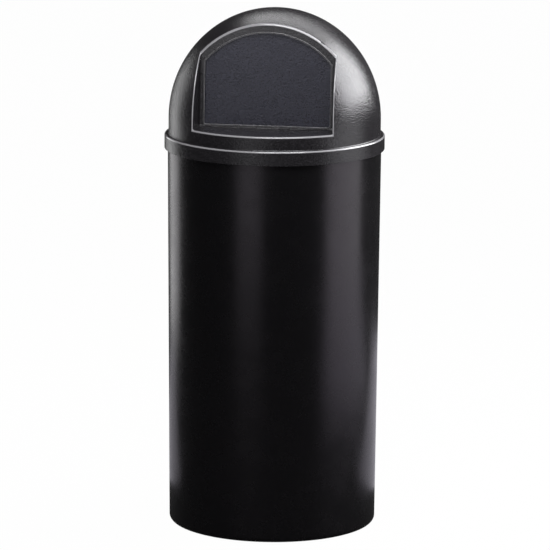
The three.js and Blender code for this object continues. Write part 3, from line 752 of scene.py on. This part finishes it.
def open_recess(mesh, place, inset, floor):
    """Cuts the recess's window out of a turned dome."""
    cheeks = [place.cheek_plane(side, inset) for side in SIDES.values()]
    plate_point = place.on_plate(0.0, 0.0, inset)
    plate_normal = place.plate_normal()
    front = -place.setback * 0.7

    def front_faces(low):
        return [face for face in mesh.faces if middle(face).y < front and middle(face).z > low]

    def between_cheeks(low):
        return [face for face in front_faces(low)
                if all((middle(face) - point).dot(normal) < 0 for point, normal in cheeks)]

    for point, normal in cheeks:
        cut_faces(mesh, front_faces(place.ledge), point, normal)
    cut_faces(mesh, between_cheeks(place.ledge), Vector((0, 0, floor)), Vector((0, 0, 1)))
    cut_faces(mesh, between_cheeks(floor), plate_point, plate_normal)
    window = [face for face in between_cheeks(floor) if (middle(face) - plate_point).dot(plate_normal) > 0]
    bmesh.ops.delete(mesh, geom=window, context="FACES")


def window_edges(mesh, place):
    """The open edges above the ledge, which bound the recess."""
    return [edge for edge in mesh.edges if edge.is_boundary and edge.verts[0].co.z > place.ledge + 1e-4]


def from_plane(vert, plane):
    """Distance of a vertex from a plane, given by a point and a normal."""
    point, normal = plane
    return abs((vert.co - point).dot(normal))


def tidy_window(mesh, place, corners, reach):
    """Draws vertices that lie close to the window onto its edge, so that it can be rounded evenly."""
    rim = verts_of(window_edges(mesh, place))
    welds = {}
    for one, other in corners:
        corner = min(rim, key=lambda vert: from_plane(vert, one) + from_plane(vert, other))
        welds |= {vert: corner for vert in rim if 0 < (vert.co - corner.co).length < reach}
    bmesh.ops.weld_verts(mesh, targetmap=welds)
    rim = verts_of(window_edges(mesh, place))
    bmesh.ops.remove_doubles(mesh, verts=rim, dist=0.45 * reach)
    rim = verts_of(window_edges(mesh, place))
    around = [vert for vert in mesh.verts if vert.co.y < 0 and vert.co.z > place.ledge + reach]
    close = bmesh.ops.find_doubles(mesh, verts=around, keep_verts=rim, dist=reach)
    bmesh.ops.weld_verts(mesh, targetmap=close["targetmap"])
    bmesh.ops.dissolve_degenerate(mesh, dist=WELD, edges=mesh.edges[:])
    bmesh.ops.dissolve_edges(mesh, edges=grazing_edges(mesh, place, radians(40)), use_verts=False)


def grazing_edges(mesh, place, least):
    """Edges that leave the window's edge at less than an angle, along which its rounding would slip."""
    grazing = []
    for vert in verts_of(window_edges(mesh, place)):
        runs = {edge: edge.other_vert(vert).co - vert.co for edge in vert.link_edges}
        for edge, run in runs.items():
            if not edge.is_boundary and any(
                    other.is_boundary and run.angle(along) < least for other, along in runs.items()):
                grazing.append(edge)
    return each_once(grazing)


def on_skin(place, point):
    """Whether a point lies on the dome's skin, and not deep in the recess."""
    skin = 0.96
    rise = max(0.0, point.z - place.crown_foot) / place.crown_height
    return Vector((point.x / place.dome_radius, point.y / place.dome_radius, rise)).length > skin


def close_recess(mesh, place, inset, floor):
    """Adds the cheeks, the sill and the plate, and returns them by name."""
    plate_point = place.on_plate(0.0, 0.0, inset)
    plate_normal = place.plate_normal()
    rim = window_edges(mesh, place)
    tolerance = 2e-5

    def along(test):
        return [edge for edge in rim if all(test(vert.co) for vert in edge.verts)]

    sill_arc = along(lambda co: abs(co.z - floor) < tolerance)
    arch = along(lambda co: abs((co - plate_point).dot(plate_normal)) < tolerance)
    feet = {side: mesh.verts.new(place.cheek_foot(side, inset, floor)) for side in SIDES.values()}
    faces = {}
    sill_edges = [mesh.edges.new(list(feet.values()))]
    plate_edges = sill_edges[:]
    for name, side in SIDES.items():
        point, normal = place.cheek_plane(side, inset)
        cheek_arc = along(lambda co: abs((co - point).dot(normal)) < tolerance)
        ends = set(verts_of(cheek_arc))
        front = next(vert for vert in verts_of(sill_arc) if vert in ends)
        top = next(vert for vert in verts_of(arch) if vert in ends)
        level = mesh.edges.new((feet[side], front))
        upright = mesh.edges.new((feet[side], top))
        faces[f"cheek_{name}"] = bmesh.ops.contextual_create(
            mesh, geom=cheek_arc + [level, upright])["faces"][0]
        sill_edges.append(level)
        plate_edges.append(upright)
    faces["sill"] = bmesh.ops.contextual_create(mesh, geom=sill_arc + sill_edges)["faces"][0]
    faces["plate"] = bmesh.ops.contextual_create(mesh, geom=arch + plate_edges)["faces"][0]
    creases = each_once(sill_edges + plate_edges)
    return faces, rim, creases


def step_the_sill(mesh, place, sill):
    """Lowers the sill behind an arc about the dome's axis, which leaves a fine step."""
    sizes = settings_of("dome")
    radius = place.dome_radius - sizes.sill_step_inset
    back = max(sill.edges, key=lambda edge: min(vert.co.y for vert in edge.verts))
    back_y = back.verts[0].co.y
    level = back.verts[0].co.z
    end = sqrt(radius ** 2 - back_y ** 2)
    left, right = sorted(back.verts, key=lambda vert: vert.co.x)
    width = right.co.x - left.co.x
    arc_left = bmesh.utils.edge_split(back, left, (-end - left.co.x) / width)[1]
    rest = next(edge for edge in arc_left.link_edges if right in edge.verts)
    arc_right = bmesh.utils.edge_split(rest, arc_left, 2 * end / (right.co.x + end))[1]
    reach = asin(end / radius)
    steps = 48
    arc = [arc_left]
    for k in range(1, steps):
        turn = -reach + 2 * reach * k / steps
        arc.append(mesh.verts.new((radius * sin(turn), -radius * cos(turn), level)))
    arc.append(arc_right)
    arc_edges = [mesh.edges.new(pair) for pair in zip(arc, arc[1:])]
    chord = next(edge for edge in arc_left.link_edges if arc_right in edge.verts)
    outline = [edge for edge in sill.edges if edge is not chord]
    bmesh.ops.delete(mesh, geom=[sill], context="FACES_ONLY")
    bmesh.ops.contextual_create(mesh, geom=outline + arc_edges)
    low = bmesh.ops.contextual_create(mesh, geom=arc_edges + [chord])["faces"]
    sunk = bmesh.ops.extrude_face_region(mesh, geom=low)["geom"]
    moved = [item for item in sunk if isinstance(item, bmesh.types.BMVert)]
    bmesh.ops.translate(mesh, verts=moved, vec=(0, 0, -sizes.sill_step))
    bmesh.ops.delete(mesh, geom=[face for face in low if face.is_valid], context="FACES_ONLY")
    round_edges(mesh, [edge for edge in arc_edges if edge.is_valid], sizes.sill_step / 3, 2)


def largest_marked(mesh, mark):
    """The largest face with a mark. The bevel passes marks on to its own small faces."""
    layer = mesh.faces.layers.int[RECESS_PART]
    return max((face for face in mesh.faces if face[layer] == mark), key=lambda face: face.calc_area())


def make_sheet(place, inset):
    """The dome's outer skin or, with an inset, its inner one. The plate is left without its hole."""
    sizes = settings_of("dome")
    floor = place.sill + (-inset if inset else sizes.sill_step)
    mesh = new_pebbled_mesh()
    part_layer = mesh.faces.layers.int.new(RECESS_PART)
    turn_about_axis(mesh, dome_profile(place, inset), sizes.segments)
    open_recess(mesh, place, inset, floor)
    level = (Vector((0, 0, floor)), Vector((0, 0, 1)))
    plate = (place.on_plate(0.0, 0.0, inset), place.plate_normal())
    corners = []
    for side in SIDES.values():
        cheek = place.cheek_plane(side, inset)
        corners += [(cheek, level), (cheek, plate)]
    tidy_window(mesh, place, corners, 1.5 * sizes.edge_rounding)
    faces, rim, creases = close_recess(mesh, place, inset, floor)
    faces["plate"][part_layer] = PLATE
    faces["sill"][part_layer] = SILL
    bmesh.ops.recalc_face_normals(mesh, faces=mesh.faces[:])
    crown = max(mesh.faces, key=lambda face: middle(face).z)
    if crown.normal.z < 0:
        bmesh.ops.reverse_faces(mesh, faces=mesh.faces[:])
    rounding = round_edges(mesh, rim + creases, sizes.edge_rounding, 4)
    if not inset:
        # The recess's rounded rim and the skirt's upper edge get the smooth finish with its painted
        # highlight.
        mark_smooth_painted_highlight(mesh, [face for face in rounding if on_skin(place, middle(face))])
        shoulder = place.skirt_radius - sizes.skirt_rounding
        mark_smooth_painted_highlight(mesh, [
            face for face in mesh.faces
            if middle(face).z > place.ledge - sizes.skirt_rounding and middle(face).xy.length > shoulder])
        step_the_sill(mesh, place, largest_marked(mesh, SILL))
    return mesh


def open_plate(mesh, ring):
    """Replaces the plate's face by one with a hole."""
    plate = largest_marked(mesh, PLATE)
    outline = list(plate.edges)
    normal = plate.normal.copy()
    bmesh.ops.delete(mesh, geom=[plate], context="FACES_ONLY")
    filled = bmesh.ops.triangle_fill(mesh, edges=outline + ring, normal=normal, use_beauty=True)
    faces = [item for item in filled["geom"] if isinstance(item, bmesh.types.BMFace)]
    for face in faces:
        if face.normal.dot(normal) < 0:
            face.normal_flip()


def frame_opening(mesh, place):
    """Cuts the opening through the outer skin's plate, with a raised bead round it."""
    sizes = settings_of("dome")
    rings = []
    for margin, depth in (
        (sizes.bead_width, 0.0),
        (sizes.bead_width, -sizes.bead_height),
        (0.0, -sizes.bead_height),
        (0.0, sizes.wall),
    ):
        outline = arch_outline(place, margin, margin, margin)
        rings.append(add_ring(mesh, [place.on_plate(x, height, depth) for x, height in outline]))
    faces = []
    for near, far in zip(rings, rings[1:]):
        faces += bmesh.ops.bridge_loops(mesh, edges=near + far)["faces"]
    open_plate(mesh, rings[0])
    bmesh.ops.recalc_face_normals(mesh, faces=faces)
    front = max(faces, key=lambda face: abs(face.normal.dot(place.plate_normal())))
    if front.normal.dot(place.plate_normal()) < 0:
        bmesh.ops.reverse_faces(mesh, faces=faces)
    bead_rounding = 0.42 * sizes.bead_height
    # The bead's rounded edges get the smooth finish with its painted highlight.
    mark_smooth_painted_highlight(mesh, round_edges(mesh, rings[1] + rings[2], bead_rounding, 3))


def eye_arc(place, start, turn, steps):
    """Points (depth, height) on the outside of an eye round the rod, from an angle on through a turn."""
    angles = [start + turn * k / steps for k in range(steps + 1)]
    return [(place.hinge_depth + place.eye_radius * cos(at), place.hinge_height + place.eye_radius * sin(at))
            for at in angles]


def upright_prism(mesh, place, outline, from_x, to_x):
    """A body between two places across the plate, drawn by (depth, height) points."""
    near = [place.on_plate(from_x, height, depth) for depth, height in outline]
    far = [place.on_plate(to_x, height, depth) for depth, height in outline]
    return fill_prism(mesh, near, far)


def add_ear(mesh, place, from_x):
    """One ear that hangs from the crown behind the plate and holds the rod in its eye."""
    hinge = settings_of("hinge")
    wall = settings_of("dome").wall
    to_x = from_x + hinge.ear_thickness
    front = wall / 2
    back = place.hinge_depth + place.eye_radius
    shoulder = place.hinge_height + hinge.ear_shoulder
    outline = [(front, shoulder), (place.hinge_depth - place.eye_radius, shoulder)]
    outline += eye_arc(place, pi, pi, 16)
    top_steps = 4
    for k in range(top_steps + 1):
        depth = back + (front - back) * k / top_steps
        outline.append((depth, place.crown_over_plate(to_x, depth, wall / 2)))
    round_edges(mesh, upright_prism(mesh, place, outline, from_x, to_x), wall / 8, 2)


def make_dome():
    """The dome: an outer and an inner skin joined at the skirt's foot and the opening, and two ears."""
    place = Layout()
    wall = settings_of("dome").wall
    ear_distance = settings_of("hinge").ear_distance
    inner = make_sheet(place, wall)
    hole = [place.on_plate(x, height, wall) for x, height in arch_outline(place, 0, 0, 0)]
    open_plate(inner, add_ring(inner, hole))
    bmesh.ops.reverse_faces(inner, faces=inner.faces[:])
    kept = bpy.data.meshes.new("dome_inner_skin")
    inner.to_mesh(kept)
    inner.free()
    mesh = make_sheet(place, 0.0)
    frame_opening(mesh, place)
    mesh.from_mesh(kept)
    bpy.data.meshes.remove(kept)
    open_edges = [edge for edge in mesh.edges if edge.is_boundary]
    foot = [edge for edge in open_edges if edge.verts[0].co.z < place.ledge]
    bmesh.ops.bridge_loops(mesh, edges=foot)
    rim = verts_of([edge for edge in mesh.edges if edge.is_boundary])
    bmesh.ops.remove_doubles(mesh, verts=rim, dist=1e-5)
    add_ear(mesh, place, ear_distance)
    add_ear(mesh, place, -ear_distance - settings_of("hinge").ear_thickness)
    return finish_piece("dome", mesh, "dome", finish_of("dome"), ["dome_top"])


# ---------------------------------------------------------------- push door and bumpers

def plate_prism(mesh, place, outline, front, back):
    """A body between two depths behind the plate, drawn on it by (x, height) points."""
    near = [place.on_plate(x, height, front) for x, height in outline]
    far = [place.on_plate(x, height, back) for x, height in outline]
    return fill_prism(mesh, near, far)


def add_rib(mesh, place, outline):
    """A rib that stands out of the door's back, and its edges."""
    door = settings_of("door")
    root = place.door_back - door.thickness / 2
    return plate_prism(mesh, place, outline, root, place.door_back + door.rib_height)


def add_edge_rib(mesh, place):
    """The stiffening rib that follows the door's edge at its sides and foot."""
    door = settings_of("door")
    outer_margin = door.overlap - door.rib_inset
    rows = []
    for margin in (outer_margin, outer_margin - door.rib_width):
        half = place.opening_half + margin
        below_arch = arch_outline(place, margin, margin, margin)[ARCH_STEPS + 1:]
        rows.append([Vector((-half, place.rib_top)), *below_arch, Vector((half, place.rib_top))])
    add_rib(mesh, place, rows[0] + rows[1][::-1])


def add_upright_rib(mesh, place, x):
    """A straight rib up the door's back."""
    door = settings_of("door")
    half = door.rib_width / 2
    foot = place.opening_foot - door.overlap + door.rib_inset + half
    top = place.rib_top + door.rib_inset
    outline = [(x - half, foot), (x + half, foot), (x + half, top), (x - half, top)]
    round_edges(mesh, add_rib(mesh, place, outline), half / 2, 2)


def add_knuckle(mesh, place, from_x):
    """A knuckle: an eye round the rod on a foot that grows out of the door's back."""
    hinge = settings_of("hinge")
    root = place.door_back - settings_of("door").thickness / 2
    outline = [
        (root, place.hinge_height - hinge.knuckle_foot),
        *eye_arc(place, -pi / 3, pi + pi / 3, 28),
        (root, place.hinge_height - place.eye_radius / 2),
    ]
    edges = upright_prism(mesh, place, outline, from_x, from_x + hinge.knuckle_length)
    round_edges(mesh, edges, hinge.eye_wall / 8, 2)


def make_door():
    """The push door: a panel with an edge rib, two upright ribs and two knuckles."""
    place = Layout()
    door = settings_of("door")
    mesh = new_pebbled_mesh()
    outline = arch_outline(place, door.overlap, door.top_overlap, door.overlap)
    edges = plate_prism(mesh, place, outline, place.door_face, place.door_back)
    # The door's rounded edges get the smooth finish with its painted highlight.
    mark_smooth_painted_highlight(mesh, round_edges(mesh, edges, door.edge_rounding, 3))
    add_edge_rib(mesh, place)
    for side in SIDES.values():
        add_upright_rib(mesh, place, side * door.rib_spread)
    add_knuckle(mesh, place, place.knuckle_inner)
    add_knuckle(mesh, place, -place.knuckle_outer)
    return finish_piece("push_door_panel", mesh, "door", finish_of("door"), ["push_door"])


def make_bumper(name, side):
    """A rubber bumper between the plate's back and the door's face."""
    place = Layout()
    door = settings_of("door")
    half = door.bumper_width / 2
    centre = side * (place.opening_half + half)
    low = door.bumper_height
    high = low + door.bumper_length
    corner = door.bumper_width / 4
    outline = rounded([
        (centre - half, low, corner), (centre + half, low, corner),
        (centre + half, high, corner), (centre - half, high, corner)])
    mesh = bmesh.new()
    front = settings_of("dome").wall + door.bumper_clearance
    edges = plate_prism(mesh, place, outline, front, place.door_face - door.bumper_clearance)
    round_edges(mesh, edges, (place.door_face - front) / 5, 2)
    node = f"door_bumper_{name}"
    return finish_piece(f"bumper_{name}", mesh, "dome", finish_of("rubber"), [node])


# ---------------------------------------------------------------- hinge

def make_rod():
    """The hinge rod, with rounded ends."""
    place = Layout()
    hinge = settings_of("hinge")
    axis_point = place.on_plate(0, place.hinge_height, place.hinge_depth)
    mesh = bmesh.new()
    bmesh.ops.create_cone(
        mesh, cap_ends=True, cap_tris=False, segments=40, radius1=hinge.rod_radius,
        radius2=hinge.rod_radius, depth=2 * place.rod_half)
    ends = [edge for edge in mesh.edges if abs(edge.verts[0].co.z - edge.verts[1].co.z) < WELD]
    round_edges(mesh, ends, hinge.rod_radius / 6, 2)
    bmesh.ops.rotate(mesh, verts=mesh.verts[:], cent=(0, 0, 0), matrix=Matrix.Rotation(pi / 2, 3, "Y"))
    bmesh.ops.translate(mesh, verts=mesh.verts[:], vec=axis_point)
    return finish_piece("rod", mesh, "dome", finish_of("zinc"), ["hinge_rod"])


def make_retainer(name, side):
    """A push-on retainer: a disc whose slots leave tongues that grip the rod."""
    place = Layout()
    hinge = settings_of("hinge")
    inner = place.bore_radius
    slot_reach = (inner + hinge.retainer_radius) / 2
    opening = asin(hinge.retainer_slot / 2 / inner)
    tip = asin(hinge.retainer_slot / 2 / slot_reach)
    sector = 2 * pi / hinge.retainer_slots
    tongue_steps = 8
    bore = []
    for k in range(hinge.retainer_slots):
        start = sector * k
        bore += [(slot_reach, start - tip), (slot_reach, start + tip)]
        for j in range(tongue_steps + 1):
            bore.append((inner, start + opening + (sector - 2 * opening) * j / tongue_steps))
    outline = [(hinge.retainer_radius, 2 * pi * k / len(bore) - sector / 12) for k in range(len(bore))]
    mesh = bmesh.new()
    rings = []
    for x in (place.retainer_inner, place.retainer_inner + hinge.retainer_thickness):
        for points in (outline, bore):
            rings.append(add_ring(mesh, [
                place.on_plate(side * x, place.hinge_height + radius * sin(turn),
                               place.hinge_depth + radius * cos(turn))
                for radius, turn in points]))
    for first, second in ((0, 1), (1, 3), (3, 2), (2, 0)):
        bmesh.ops.bridge_loops(mesh, edges=rings[first] + rings[second])
    bmesh.ops.recalc_face_normals(mesh, faces=mesh.faces[:])
    node = f"rod_retainer_{name}"
    return finish_piece(f"retainer_{name}", mesh, "dome", finish_of("zinc"), [node])


def make_spring(name, side):
    """A torsion spring: a leg on the crown's inside, the coil round the rod, a leg down the door."""
    place = Layout()
    hinge = settings_of("hinge")
    wall = settings_of("dome").wall
    wire = hinge.wire_diameter / 2
    lean = (hinge.behind_door - hinge.coil_radius - wire - hinge.rod_clearance) / hinge.door_leg
    start_turn = pi / 2 + hinge.skin_leg_angle
    end_turn = pi - asin(lean) + 2 * pi * hinge.coil_turns
    turned = end_turn - start_turn
    outer_x = place.knuckle_inner - hinge.coil_play - wire
    inner_x = outer_x - turned * hinge.coil_pitch / (2 * pi)
    axis_point = place.on_plate(0, place.hinge_height, place.hinge_depth)

    def coil_point(turn, x):
        up = hinge.coil_radius * sin(turn)
        back = hinge.coil_radius * cos(turn)
        return place.on_plate(side * x, place.hinge_height + up, place.hinge_depth + back)

    def heading(turn):
        return place.plate_up() * cos(turn) + place.plate_normal() * sin(turn)

    mesh = bmesh.new()
    begin = coil_point(start_turn, inner_x)
    circle = bmesh.ops.create_circle(mesh, segments=12, radius=wire)
    square = heading(start_turn).to_track_quat("Z", "Y").to_matrix()
    bmesh.ops.rotate(mesh, verts=circle["verts"], cent=(0, 0, 0), matrix=square)
    bmesh.ops.translate(mesh, verts=circle["verts"], vec=begin)
    start_edges = mesh.edges[:]
    steps_a_turn = 28
    steps = round(turned / (2 * pi) * steps_a_turn)
    coil = bmesh.ops.spin(
        mesh, geom=circle["verts"] + start_edges, cent=axis_point, axis=(1, 0, 0), angle=-turned,
        steps=steps, dvec=(side * (outer_x - inner_x) / steps, 0, 0))
    last = [item for item in coil["geom_last"] if isinstance(item, bmesh.types.BMEdge)]
    reach = place.reach_to_crown(begin, -heading(start_turn), wall + hinge.rod_clearance + wire)
    legs = ((start_edges, -heading(start_turn) * reach), (last, heading(end_turn) * hinge.door_leg))
    for edges, run in legs:
        grown = bmesh.ops.extrude_edge_only(mesh, edges=edges)["geom"]
        tip = [item for item in grown if isinstance(item, bmesh.types.BMVert)]
        bmesh.ops.translate(mesh, verts=tip, vec=run)
        bmesh.ops.contextual_create(
            mesh, geom=[item for item in grown if isinstance(item, bmesh.types.BMEdge) and item.is_boundary])
    bmesh.ops.remove_doubles(mesh, verts=mesh.verts[:], dist=WELD)
    bmesh.ops.recalc_face_normals(mesh, faces=mesh.faces[:])
    node = f"door_spring_{name}"
    piece = finish_piece(f"spring_{name}", mesh, None, finish_of("spring"), [node])
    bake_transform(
        piece, "dome", "door", start=(side * inner_x, axis_point.y, axis_point.z),
        end=(side * outer_x, axis_point.y, axis_point.z))
    return piece


# ---------------------------------------------------------------- stage

# Each soft box has a name, degrees from the camera towards +X, a distance, a height, a width, how tall
# it is, its radiance, and the height on the object's axis that it faces.
SOFT_BOXES = (
    ("right_soft_box", 102, 1.5, 1.5, 1.5, 1.3, 10.5, 0.85),
    ("right_low_box", 80, 2.3, 0.3, 2.0, 0.6, 1.6, 0.3),
    ("front_top_box", 8, 1.2, 2.3, 1.5, 0.8, 12.0, 0.85),
    ("top_soft_box", 165, 1.1, 2.3, 1.8, 1.0, 3.2, 0.85),
    ("left_rim_box", -134, 1.7, 0.6, 0.8, 1.2, 1.6, 0.6),
    ("front_left_box", -26, 2.6, 0.3, 1.2, 0.6, 0.9, 0.4),
    ("front_near_box", -17, 1.2, 1.1, 0.6, 0.5, 1.9, 0.85),
)

# Each card on the floor has a name, degrees from the camera towards +X, a distance, a width, how far it
# reaches outwards, and its radiance.
FLOOR_CARDS = (
    ("right_floor_card", 84, 1.65, 1.6, 1.2, 0.9),
    ("back_floor_card", 147, 0.95, 0.9, 1.3, 0.7),
    ("left_floor_card", -140, 0.95, 0.55, 1.2, 0.5),
)
CARD_HEIGHT = 0.004
FLOOR_RADIUS = 30.0


def towards(azimuth, distance, height):
    """The place at an azimuth round the object, counted from -Y towards +X."""
    return Vector((distance * sin(azimuth), -distance * cos(azimuth), height))


def make_camera():
    """The camera, with a long lens and a small sideways shift."""
    stage = settings_of("stage")
    data = bpy.data.cameras.new("photo_camera")
    data.lens = stage.camera_lens
    data.sensor_width = 36.0
    data.shift_x = stage.camera_shift
    data.clip_end = 100.0
    camera = bpy.data.objects.new("photo_camera", data)
    turn = Matrix.Rotation(stage.camera_azimuth - stage.camera_turn, 4, "Z")
    tilt = Matrix.Rotation(pi / 2 - stage.camera_tilt, 4, "X")
    roll = Matrix.Rotation(stage.camera_roll, 4, "Z")
    place = Matrix.Translation(towards(stage.camera_azimuth, stage.camera_distance, stage.camera_height))
    camera.matrix_world = place @ turn @ tilt @ roll
    bpy.context.scene.collection.objects.link(camera)
    bpy.context.scene.camera = camera


def add_lamp(name, width, tall, radiance):
    """An even rectangle of light, as bright as its radiance says whatever its size."""
    data = bpy.data.lights.new(name, "AREA")
    data.shape = "RECTANGLE"
    data.size = width
    data.size_y = tall
    data.energy = radiance * pi * width * tall
    lamp = bpy.data.objects.new(name, data)
    lamp.visible_camera = False
    bpy.context.scene.collection.objects.link(lamp)
    return lamp


def add_soft_box(name, azimuth, distance, height, width, tall, radiance, aim):
    """A soft box that stands round the object and faces a height on its axis."""
    lamp = add_lamp(name, width, tall, radiance)
    lamp.location = towards(azimuth, distance, height)
    lamp.rotation_euler = (Vector((0, 0, aim)) - lamp.location).to_track_quat("-Z", "Y").to_euler()


def add_floor_card(name, azimuth, distance, width, reach, radiance):
    """A bright card that lies on the floor beside the object and shows in its lower wall."""
    lamp = add_lamp(name, width, reach, radiance)
    lamp.data.color = settings_of("stage").card_colour
    lamp.location = towards(azimuth, distance, CARD_HEIGHT)
    lamp.rotation_euler = (pi, 0.0, azimuth)


def light_path_strength(tree, plain, mirrored):
    """Whether a ray shows the backdrop, and a strength: 1 to the camera, less mirrored, plain otherwise."""
    path = add_node(tree, "LightPath", {}).outputs
    camera = path["Is Camera Ray"]
    reflected = work_out(tree, "MAXIMUM", path["Is Glossy Ray"], path["Is Transmission Ray"])
    level = add_node(tree, "MapRange", {"Value": reflected, "To Min": plain, "To Max": mirrored})
    seen = work_out(tree, "MAXIMUM", reflected, camera)
    return seen, work_out(tree, "MAXIMUM", level.outputs["Result"], camera)


def make_world():
    """The white backdrop, which lights the object softly."""
    stage = settings_of("stage")
    world = bpy.data.worlds.new("white_backdrop")
    world.use_nodes = True
    tree = world.node_tree
    strength = light_path_strength(tree, stage.ambient, stage.mirrored_white)[1]
    fill(tree, tree.nodes["Background"], {"Color": (1, 1, 1, 1), "Strength": strength})
    bpy.context.scene.world = world


def make_floor():
    """The pale floor, which keeps the object's shadow."""
    stage = settings_of("stage")
    mesh = bmesh.new()
    bmesh.ops.create_circle(mesh, cap_ends=True, segments=96, radius=FLOOR_RADIUS)
    data = bpy.data.meshes.new("floor")
    mesh.to_mesh(data)
    mesh.free()
    material = bpy.data.materials.new("pale_floor")
    material.use_nodes = True
    tree = material.node_tree
    shader = tree.nodes["Principled BSDF"]
    fill(tree, shader, {
        "Base Color": opaque(stage.floor_colour), "Roughness": 1.0, "Specular IOR Level": 0.0})
    seen, strength = light_path_strength(tree, 0.0, stage.mirrored_white)
    white = add_node(tree, "Emission", {"Strength": strength})
    part = work_out(tree, "MULTIPLY", seen, stage.floor_white)
    mixed = add_node(tree, "MixShader", {0: part, 1: shader.outputs[0], 2: white.outputs[0]})
    fill(tree, tree.nodes["Material Output"], {"Surface": mixed.outputs[0]})
    data.materials.append(material)
    floor = bpy.data.objects.new("floor", data)
    bpy.context.scene.collection.objects.link(floor)


def make_lamps():
    """The soft boxes and the cards on the floor."""
    ahead = settings_of("stage").camera_azimuth
    for name, degrees, *rest in SOFT_BOXES:
        add_soft_box(name, ahead + radians(degrees), *rest)
    for name, degrees, *rest in FLOOR_CARDS:
        add_floor_card(name, ahead + radians(degrees), *rest)


# ---------------------------------------------------------------- operators

class ReceptacleOperator(Operator):
    """Shared options of the receptacle's operators."""

    bl_options = {"REGISTER", "UNDO"}


class RECEPTACLE_OT_stage(ReceptacleOperator):
    """Sets the camera, the lamps, the backdrop and the floor"""

    bl_idname = "receptacle.stage"
    bl_label = "Stage"

    def execute(self, context):
        make_camera()
        make_lamps()
        make_world()
        make_floor()
        context.scene.view_settings.view_transform = "Standard"
        return {"FINISHED"}


class RECEPTACLE_OT_container(ReceptacleOperator):
    """Makes the tapered container"""

    bl_idname = "receptacle.container"
    bl_label = "Container"

    def execute(self, context):
        make_container()
        return {"FINISHED"}


class RECEPTACLE_OT_band(ReceptacleOperator):
    """Makes the elastic band that holds the bag"""

    bl_idname = "receptacle.band"
    bl_label = "Bag band"

    def execute(self, context):
        make_band()
        return {"FINISHED"}


class RECEPTACLE_OT_dome(ReceptacleOperator):
    """Makes the dome with its recess, bead and hinge ears"""

    bl_idname = "receptacle.dome"
    bl_label = "Dome"

    def execute(self, context):
        make_dome()
        return {"FINISHED"}


class RECEPTACLE_OT_door(ReceptacleOperator):
    """Makes the push door with its ribs and knuckles"""

    bl_idname = "receptacle.door"
    bl_label = "Push door"

    def execute(self, context):
        make_door()
        return {"FINISHED"}


class RECEPTACLE_OT_bumpers(ReceptacleOperator):
    """Makes the two rubber bumpers that the door closes against"""

    bl_idname = "receptacle.bumpers"
    bl_label = "Door bumpers"

    def execute(self, context):
        for name, side in SIDES.items():
            make_bumper(name, side)
        return {"FINISHED"}


class RECEPTACLE_OT_rod(ReceptacleOperator):
    """Makes the hinge rod and the retainers on its ends"""

    bl_idname = "receptacle.rod"
    bl_label = "Rod and retainers"

    def execute(self, context):
        make_rod()
        for name, side in SIDES.items():
            make_retainer(name, side)
        return {"FINISHED"}


class RECEPTACLE_OT_springs(ReceptacleOperator):
    """Makes the two torsion springs that shut the door"""

    bl_idname = "receptacle.springs"
    bl_label = "Door springs"

    def execute(self, context):
        for name, side in SIDES.items():
            make_spring(name, side)
        return {"FINISHED"}


OPERATORS = (
    RECEPTACLE_OT_stage,
    RECEPTACLE_OT_container,
    RECEPTACLE_OT_band,
    RECEPTACLE_OT_dome,
    RECEPTACLE_OT_door,
    RECEPTACLE_OT_bumpers,
    RECEPTACLE_OT_rod,
    RECEPTACLE_OT_springs,
)


class RECEPTACLE_PT_panel(Panel):
    """Lists the receptacle's pieces in the sidebar of the 3D view"""

    bl_idname = "RECEPTACLE_PT_panel"
    bl_label = "Waste receptacle"
    bl_space_type = "VIEW_3D"
    bl_region_type = "UI"
    bl_category = "Receptacle"

    def draw(self, context):
        for operator in OPERATORS:
            self.layout.operator(operator.bl_idname)
        for name, group in SETTINGS.items():
            box = self.layout.box()
            box.label(text=name.replace("receptacle_", "").capitalize())
            for prop in group.__annotations__:
                box.prop(getattr(context.scene, name), prop)


def register():
    """Registers the settings, the operators and the panel."""
    for group in SETTINGS.values():
        bpy.utils.register_class(group)
    for name, group in SETTINGS.items():
        setattr(bpy.types.Scene, name, PointerProperty(type=group))
    for operator in OPERATORS:
        bpy.utils.register_class(operator)
    bpy.utils.register_class(RECEPTACLE_PT_panel)


def unregister():
    """Takes back what register did."""
    bpy.utils.unregister_class(RECEPTACLE_PT_panel)
    for operator in reversed(OPERATORS):
        bpy.utils.unregister_class(operator)
    for name, group in reversed(SETTINGS.items()):
        delattr(bpy.types.Scene, name)
        bpy.utils.unregister_class(group)


def main():
    """Makes the stage and every piece."""
    register()
    bpy.ops.receptacle.stage()
    bpy.ops.receptacle.container()
    bpy.ops.receptacle.band()
    bpy.ops.receptacle.dome()
    bpy.ops.receptacle.door()
    bpy.ops.receptacle.bumpers()
    bpy.ops.receptacle.rod()
    bpy.ops.receptacle.springs()


if __name__ == "__main__":
    main()
